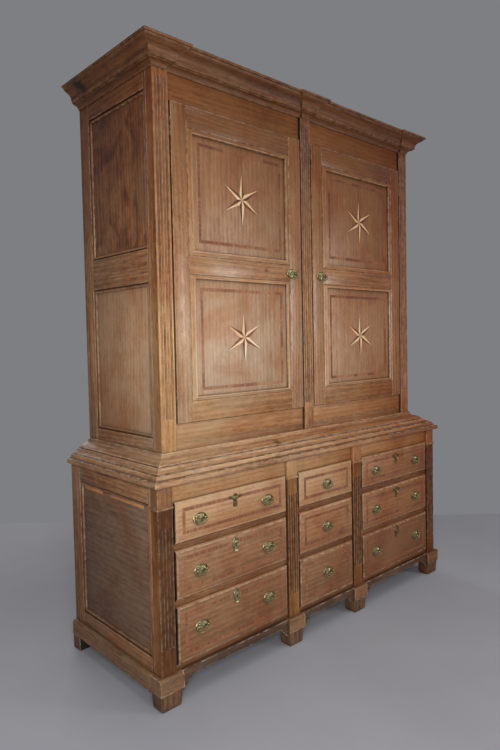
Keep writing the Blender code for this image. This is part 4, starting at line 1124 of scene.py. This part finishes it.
# From the stile inwards, with the depth behind the door's face: a quirk, a long rise to a rounded ridge,
# and a drop to the panel
moulding = [(-0.0004, 0.0037), (-0.0004, -0.0002), (0.0010, 0.0016), (0.0026, 0.0008)]
moulding += bend((0.0026, 0.0004), (0.0100, -0.0012), (0.0152, -0.0038), 5)
moulding += bend((0.0152, -0.0038), (0.0180, -0.0052), (0.0204, -0.0040), 5)
moulding += [(0.0204, -0.0040), (0.0216, -0.0016), (moulding_width, 0), (moulding_width, 0.0037)]
moulding_profile = [(inwards, door_face + depth) for inwards, depth in moulding]
lip_front = panel_face + 0.0105
lip = [(-0.0004, lip_front), (moulding_width, lip_front), (moulding_width, door_back),
       (-0.0004, door_back)]
star_reach = 0.0945
star_waist = 0.0220
star_spots = {"left": 0.3395, "right": 0.3465}
star_levels = {"lower": 1.161, "upper": 1.656}
band_levels = {"lower": (0.9816, 1.3335), "upper": (1.4850, 1.8215)}
band_edges = (0.1415, 0.5375)
# Between the rails the mouldings are narrower than up the stiles
door_openings = {"lower": (0.9483, 1.3756, 0.62), "upper": (1.4386, 1.8611, 0.80)}


def star_corner(middle, reach, angle):
    """A corner of a star, some way out from its middle."""
    return middle[0] + reach * math.cos(angle), middle[1] + reach * math.sin(angle)


for word, sign in side_words:
    body = f"{word}_door"
    door_low, door_high = case_box(f"{word}_door_frame")
    edges = sorted((sign * 0.646, sign * 0.0335))
    stile_edges = sorted((sign * 0.583, sign * 0.0979))
    wood = new_piece()

    def edge_gap_shade(tone):
        """A tone for a board of the frame, with painted shade on the edges that show in the door's gap."""
        def place_tone(point):
            inside = min(point.x - edges[0], edges[1] - point.x, point.z - door_low.z,
                         door_high.z - point.z)
            return -2.3 if inside < 0.0004 else tone
        return place_tone

    for left, right in ((edges[0], stile_edges[0]), (stile_edges[1], edges[1])):
        add_board(wood, (left, door_face, door_low.z), (right, door_back, door_high.z), 2, edge=worn_edge,
                  tone=edge_gap_shade(-0.1))
    lower, upper = door_openings["lower"], door_openings["upper"]
    rails = ((door_low.z, lower[0]), (lower[1], upper[0]), (upper[1], door_high.z))
    for (foot, top), tone, finish in zip(rails, (-0.15, -0.1, -0.35), (1, 0, 0)):
        add_board(wood, (stile_edges[0], door_face, foot), (stile_edges[1], door_back, top), 0, edge=0.0012,
                  tone=edge_gap_shade(tone), finish=finish)
    boards, inlay = new_piece(), new_piece()
    for level, (foot, top, narrowing) in door_openings.items():
        path = [(stile_edges[0], foot), (stile_edges[0], top), (stile_edges[1], top),
                (stile_edges[1], foot)]

        def moulding_shade_and_wear(point):
            """Painted shade in the quirks on both sides of the moulding, a rubbed ridge between them."""
            across = min(point.x - stile_edges[0], stile_edges[1] - point.x)
            upright = min(point.z - foot, top - point.z) / narrowing
            out = min(across, upright)
            if out > 0.0212:
                return -0.6
            if 0.0004 < out < 0.0020:
                return -1.8
            return 0.4 if out > 0.014 else 0.1

        add_runs(wood, path, moulding_profile, (0, 2, 1), closed=True, stretch=(1, narrowing),
                 tone=moulding_shade_and_wear)
        add_runs(wood, path, lip, (0, 2, 1), closed=True, stretch=(1, narrowing))
        add_board(boards, (stile_edges[0] + 0.012, panel_face, foot + 0.008),
                  (stile_edges[1] - 0.012, panel_face + panel_thickness, top - 0.008), 2, edge=crisp_edge)
        band = sorted(sign * edge for edge in band_edges)
        add_crossband(inlay, band[0], band[1], *band_levels[level], band_width, panel_face, change=0.60)
        middle = (sign * star_spots[word], star_levels[level])
        for ray in range(6):
            tip_angle = math.pi / 2 + ray * math.pi / 3
            tip = star_corner(middle, star_reach, tip_angle)
            for turn, finish in ((1, 1), (-1, 2)):
                waist_corner = star_corner(middle, star_waist, tip_angle + turn * math.pi / 6)
                half_ray = sawn([middle, tip, waist_corner], panel_face - veneer_proud,
                                panel_face + veneer_depth)
                add_chunk(inlay, half_ray, 2, planks.uniform(-0.2, 0.2), finish)
    make_piece(f"{word}_door_joinery", wood, body, [door_oak, front_oak],
               [f"{word}_door_frame"])
    panel_nodes = [f"{word}_door_lower_panel", f"{word}_door_upper_panel"]
    make_piece(f"{word}_door_panels", boards, body, [panel_oak], panel_nodes)
    make_piece(f"{word}_door_inlay", inlay, body, [crossband, pale_inlay, brown_inlay])

# Hinges
# Two iron pin hinges carry each door, forged and left dark. A thin leaf lies along the door's outer
# edge, and a slim knuckle shows in the gap beside it.
hinge_x = 0.649
knuckle_radius = 0.0026
knuckle_height = 0.0194
leaf_edges = (0.6461, 0.6474)
leaf_half = 0.009
leaf_depth = 0.024
for word, sign in side_words:
    knuckles = new_piece()
    for level in ("lower", "upper"):
        node = f"{word}_{level}_hinge"
        refinish(node, iron)
        low, high = case_box(node)
        middle = (low.z + high.z) / 2
        chunk = bmesh.new()
        bmesh.ops.create_cone(chunk, cap_ends=True, segments=16, radius1=knuckle_radius,
                              radius2=knuckle_radius, depth=knuckle_height,
                              matrix=Matrix.Translation((sign * hinge_x, press_front, middle)))
        rims = [e for e in chunk.edges if abs(e.verts[0].co.z - e.verts[1].co.z) < hairline]
        ease(chunk, rims, 0.0005)
        add_chunk(knuckles, chunk, 2)
        leaf = sorted(sign * edge for edge in leaf_edges)
        add_board(knuckles, (leaf[0], press_front, middle - leaf_half),
                  (leaf[1], press_front + leaf_depth, middle + leaf_half), 2, edge=0.0002)
    make_piece(f"{word}_door_knuckles", knuckles, f"{word}_door", [iron])

# Studio
# A plain pale floor with a soft grey mottle, a soft lamp beside the camera, a tall one in front to the
# right, a wide one overhead, one behind and even light all round. The camera stands at the front left
# corner at chest height, as in the photograph.
floor_paint, tree, shader, place = new_finish("pale_floor_paint")
clouds = add_node(tree, "TexNoise", {"Vector": place, "Scale": 1.6, "Detail": 5.0}).outputs["Fac"]
ramp = add_node(tree, "ValToRGB", {"Fac": clouds})
ramp.color_ramp.elements[0].position = 0.30
ramp.color_ramp.elements[0].color = linear("9a9aa1")
ramp.color_ramp.elements[1].position = 0.75
ramp.color_ramp.elements[1].color = linear("a4a4aa")
tree.links.new(ramp.outputs["Color"], shader.inputs["Base Color"])
shader.inputs["Roughness"].default_value = 0.75
floor_reach = 9.0
# The floor stops at a straight line behind the cupboard, square to the camera
floor_far_left = Vector((-0.439, 2.392 + front_plane, 0))
floor_far_right = Vector((1.925, 0.194 + front_plane, 0))
floor_along = (floor_far_right - floor_far_left).normalized()
floor_away = Vector((-floor_along.y, floor_along.x, 0))
floor_mesh = bpy.data.meshes.new("floor")
floor_corners = [floor_far_left - floor_reach * floor_along, floor_far_right + floor_reach * floor_along]
floor_corners += [corner - 2 * floor_reach * floor_away for corner in reversed(floor_corners)]
floor_mesh.from_pydata(floor_corners, [], [(0, 1, 2, 3)])
floor_mesh.materials.append(floor_paint)
floor = bpy.data.objects.new("floor", floor_mesh)
bpy.context.scene.collection.objects.link(floor)

lamps = (("key_lamp", 0.9, 0.9, 48.0, (-2.0, -2.15, 1.35), (-0.4, -0.2, 1.05)),
         ("side_lamp", 0.5, 1.3, 30.0, (1.5, -3.2, 1.15), (-0.2, -0.2, 1.0)),
         ("overhead_lamp", 3.0, 3.0, 55.0, (-0.6, -1.8, 4.6), (0.0, 0.0, 0.8)),
         ("rear_lamp", 2.0, 2.0, 45.0, (0.8, 4.2, 2.2), (0.0, 0.3, 1.0)))
for name, width, height, power, spot, target in lamps:
    light = bpy.data.lights.new(name, "AREA")
    light.shape = "RECTANGLE"
    light.size = width
    light.size_y = height
    light.energy = power
    lamp = bpy.data.objects.new(name, light)
    lamp.location = spot
    lamp.rotation_euler = (Vector(target) - Vector(spot)).to_track_quat("-Z", "Y").to_euler()
    bpy.context.scene.collection.objects.link(lamp)

world = bpy.data.worlds.new("studio_air")
world.use_nodes = True
bpy.context.scene.world = world
tree = world.node_tree
rays = add_node(tree, "LightPath")
shown = add_node(tree, "Math", {0: rays.outputs["Is Camera Ray"], 1: rays.outputs["Is Glossy Ray"]},
                 operation="MAXIMUM").outputs[0]
sockets = {"Fac": shown, "Color1": linear("757577"), "Color2": linear("7e7f83")}
tint = add_node(tree, "MixRGB", sockets).outputs[0]
tree.links.new(tint, tree.nodes["Background"].inputs["Color"])

picture_width, picture_height = 500, 750
focal_pixels = 594.67
middle_pixel = (259.64, 365.35)
eye_place = Vector((-1.7829, -1.5351 + front_plane, 1.1518))
yaw, pitch, roll = 0.7502, -0.0432, -0.0196
forward = Vector((math.sin(yaw) * math.cos(pitch), math.cos(yaw) * math.cos(pitch), math.sin(pitch)))
level_right = forward.cross(Vector((0, 0, 1))).normalized()
level_up = level_right.cross(forward)
eye_right = math.cos(roll) * level_right + math.sin(roll) * level_up
eye_up = math.cos(roll) * level_up - math.sin(roll) * level_right
camera = bpy.data.cameras.new("camera")
camera.sensor_width = 36.0
camera.lens = focal_pixels * camera.sensor_width / picture_height
camera.shift_x = (picture_width / 2 - middle_pixel[0]) / picture_height
camera.shift_y = (middle_pixel[1] - picture_height / 2) / picture_height
eye = bpy.data.objects.new("camera", camera)
eye.matrix_world = Matrix((eye_right, eye_up, -forward)).transposed().to_4x4()
eye.location = eye_place
bpy.context.scene.collection.objects.link(eye)
bpy.context.scene.camera = eye
bpy.context.scene.view_settings.view_transform = "Standard"

bpy.context.view_layer.update()
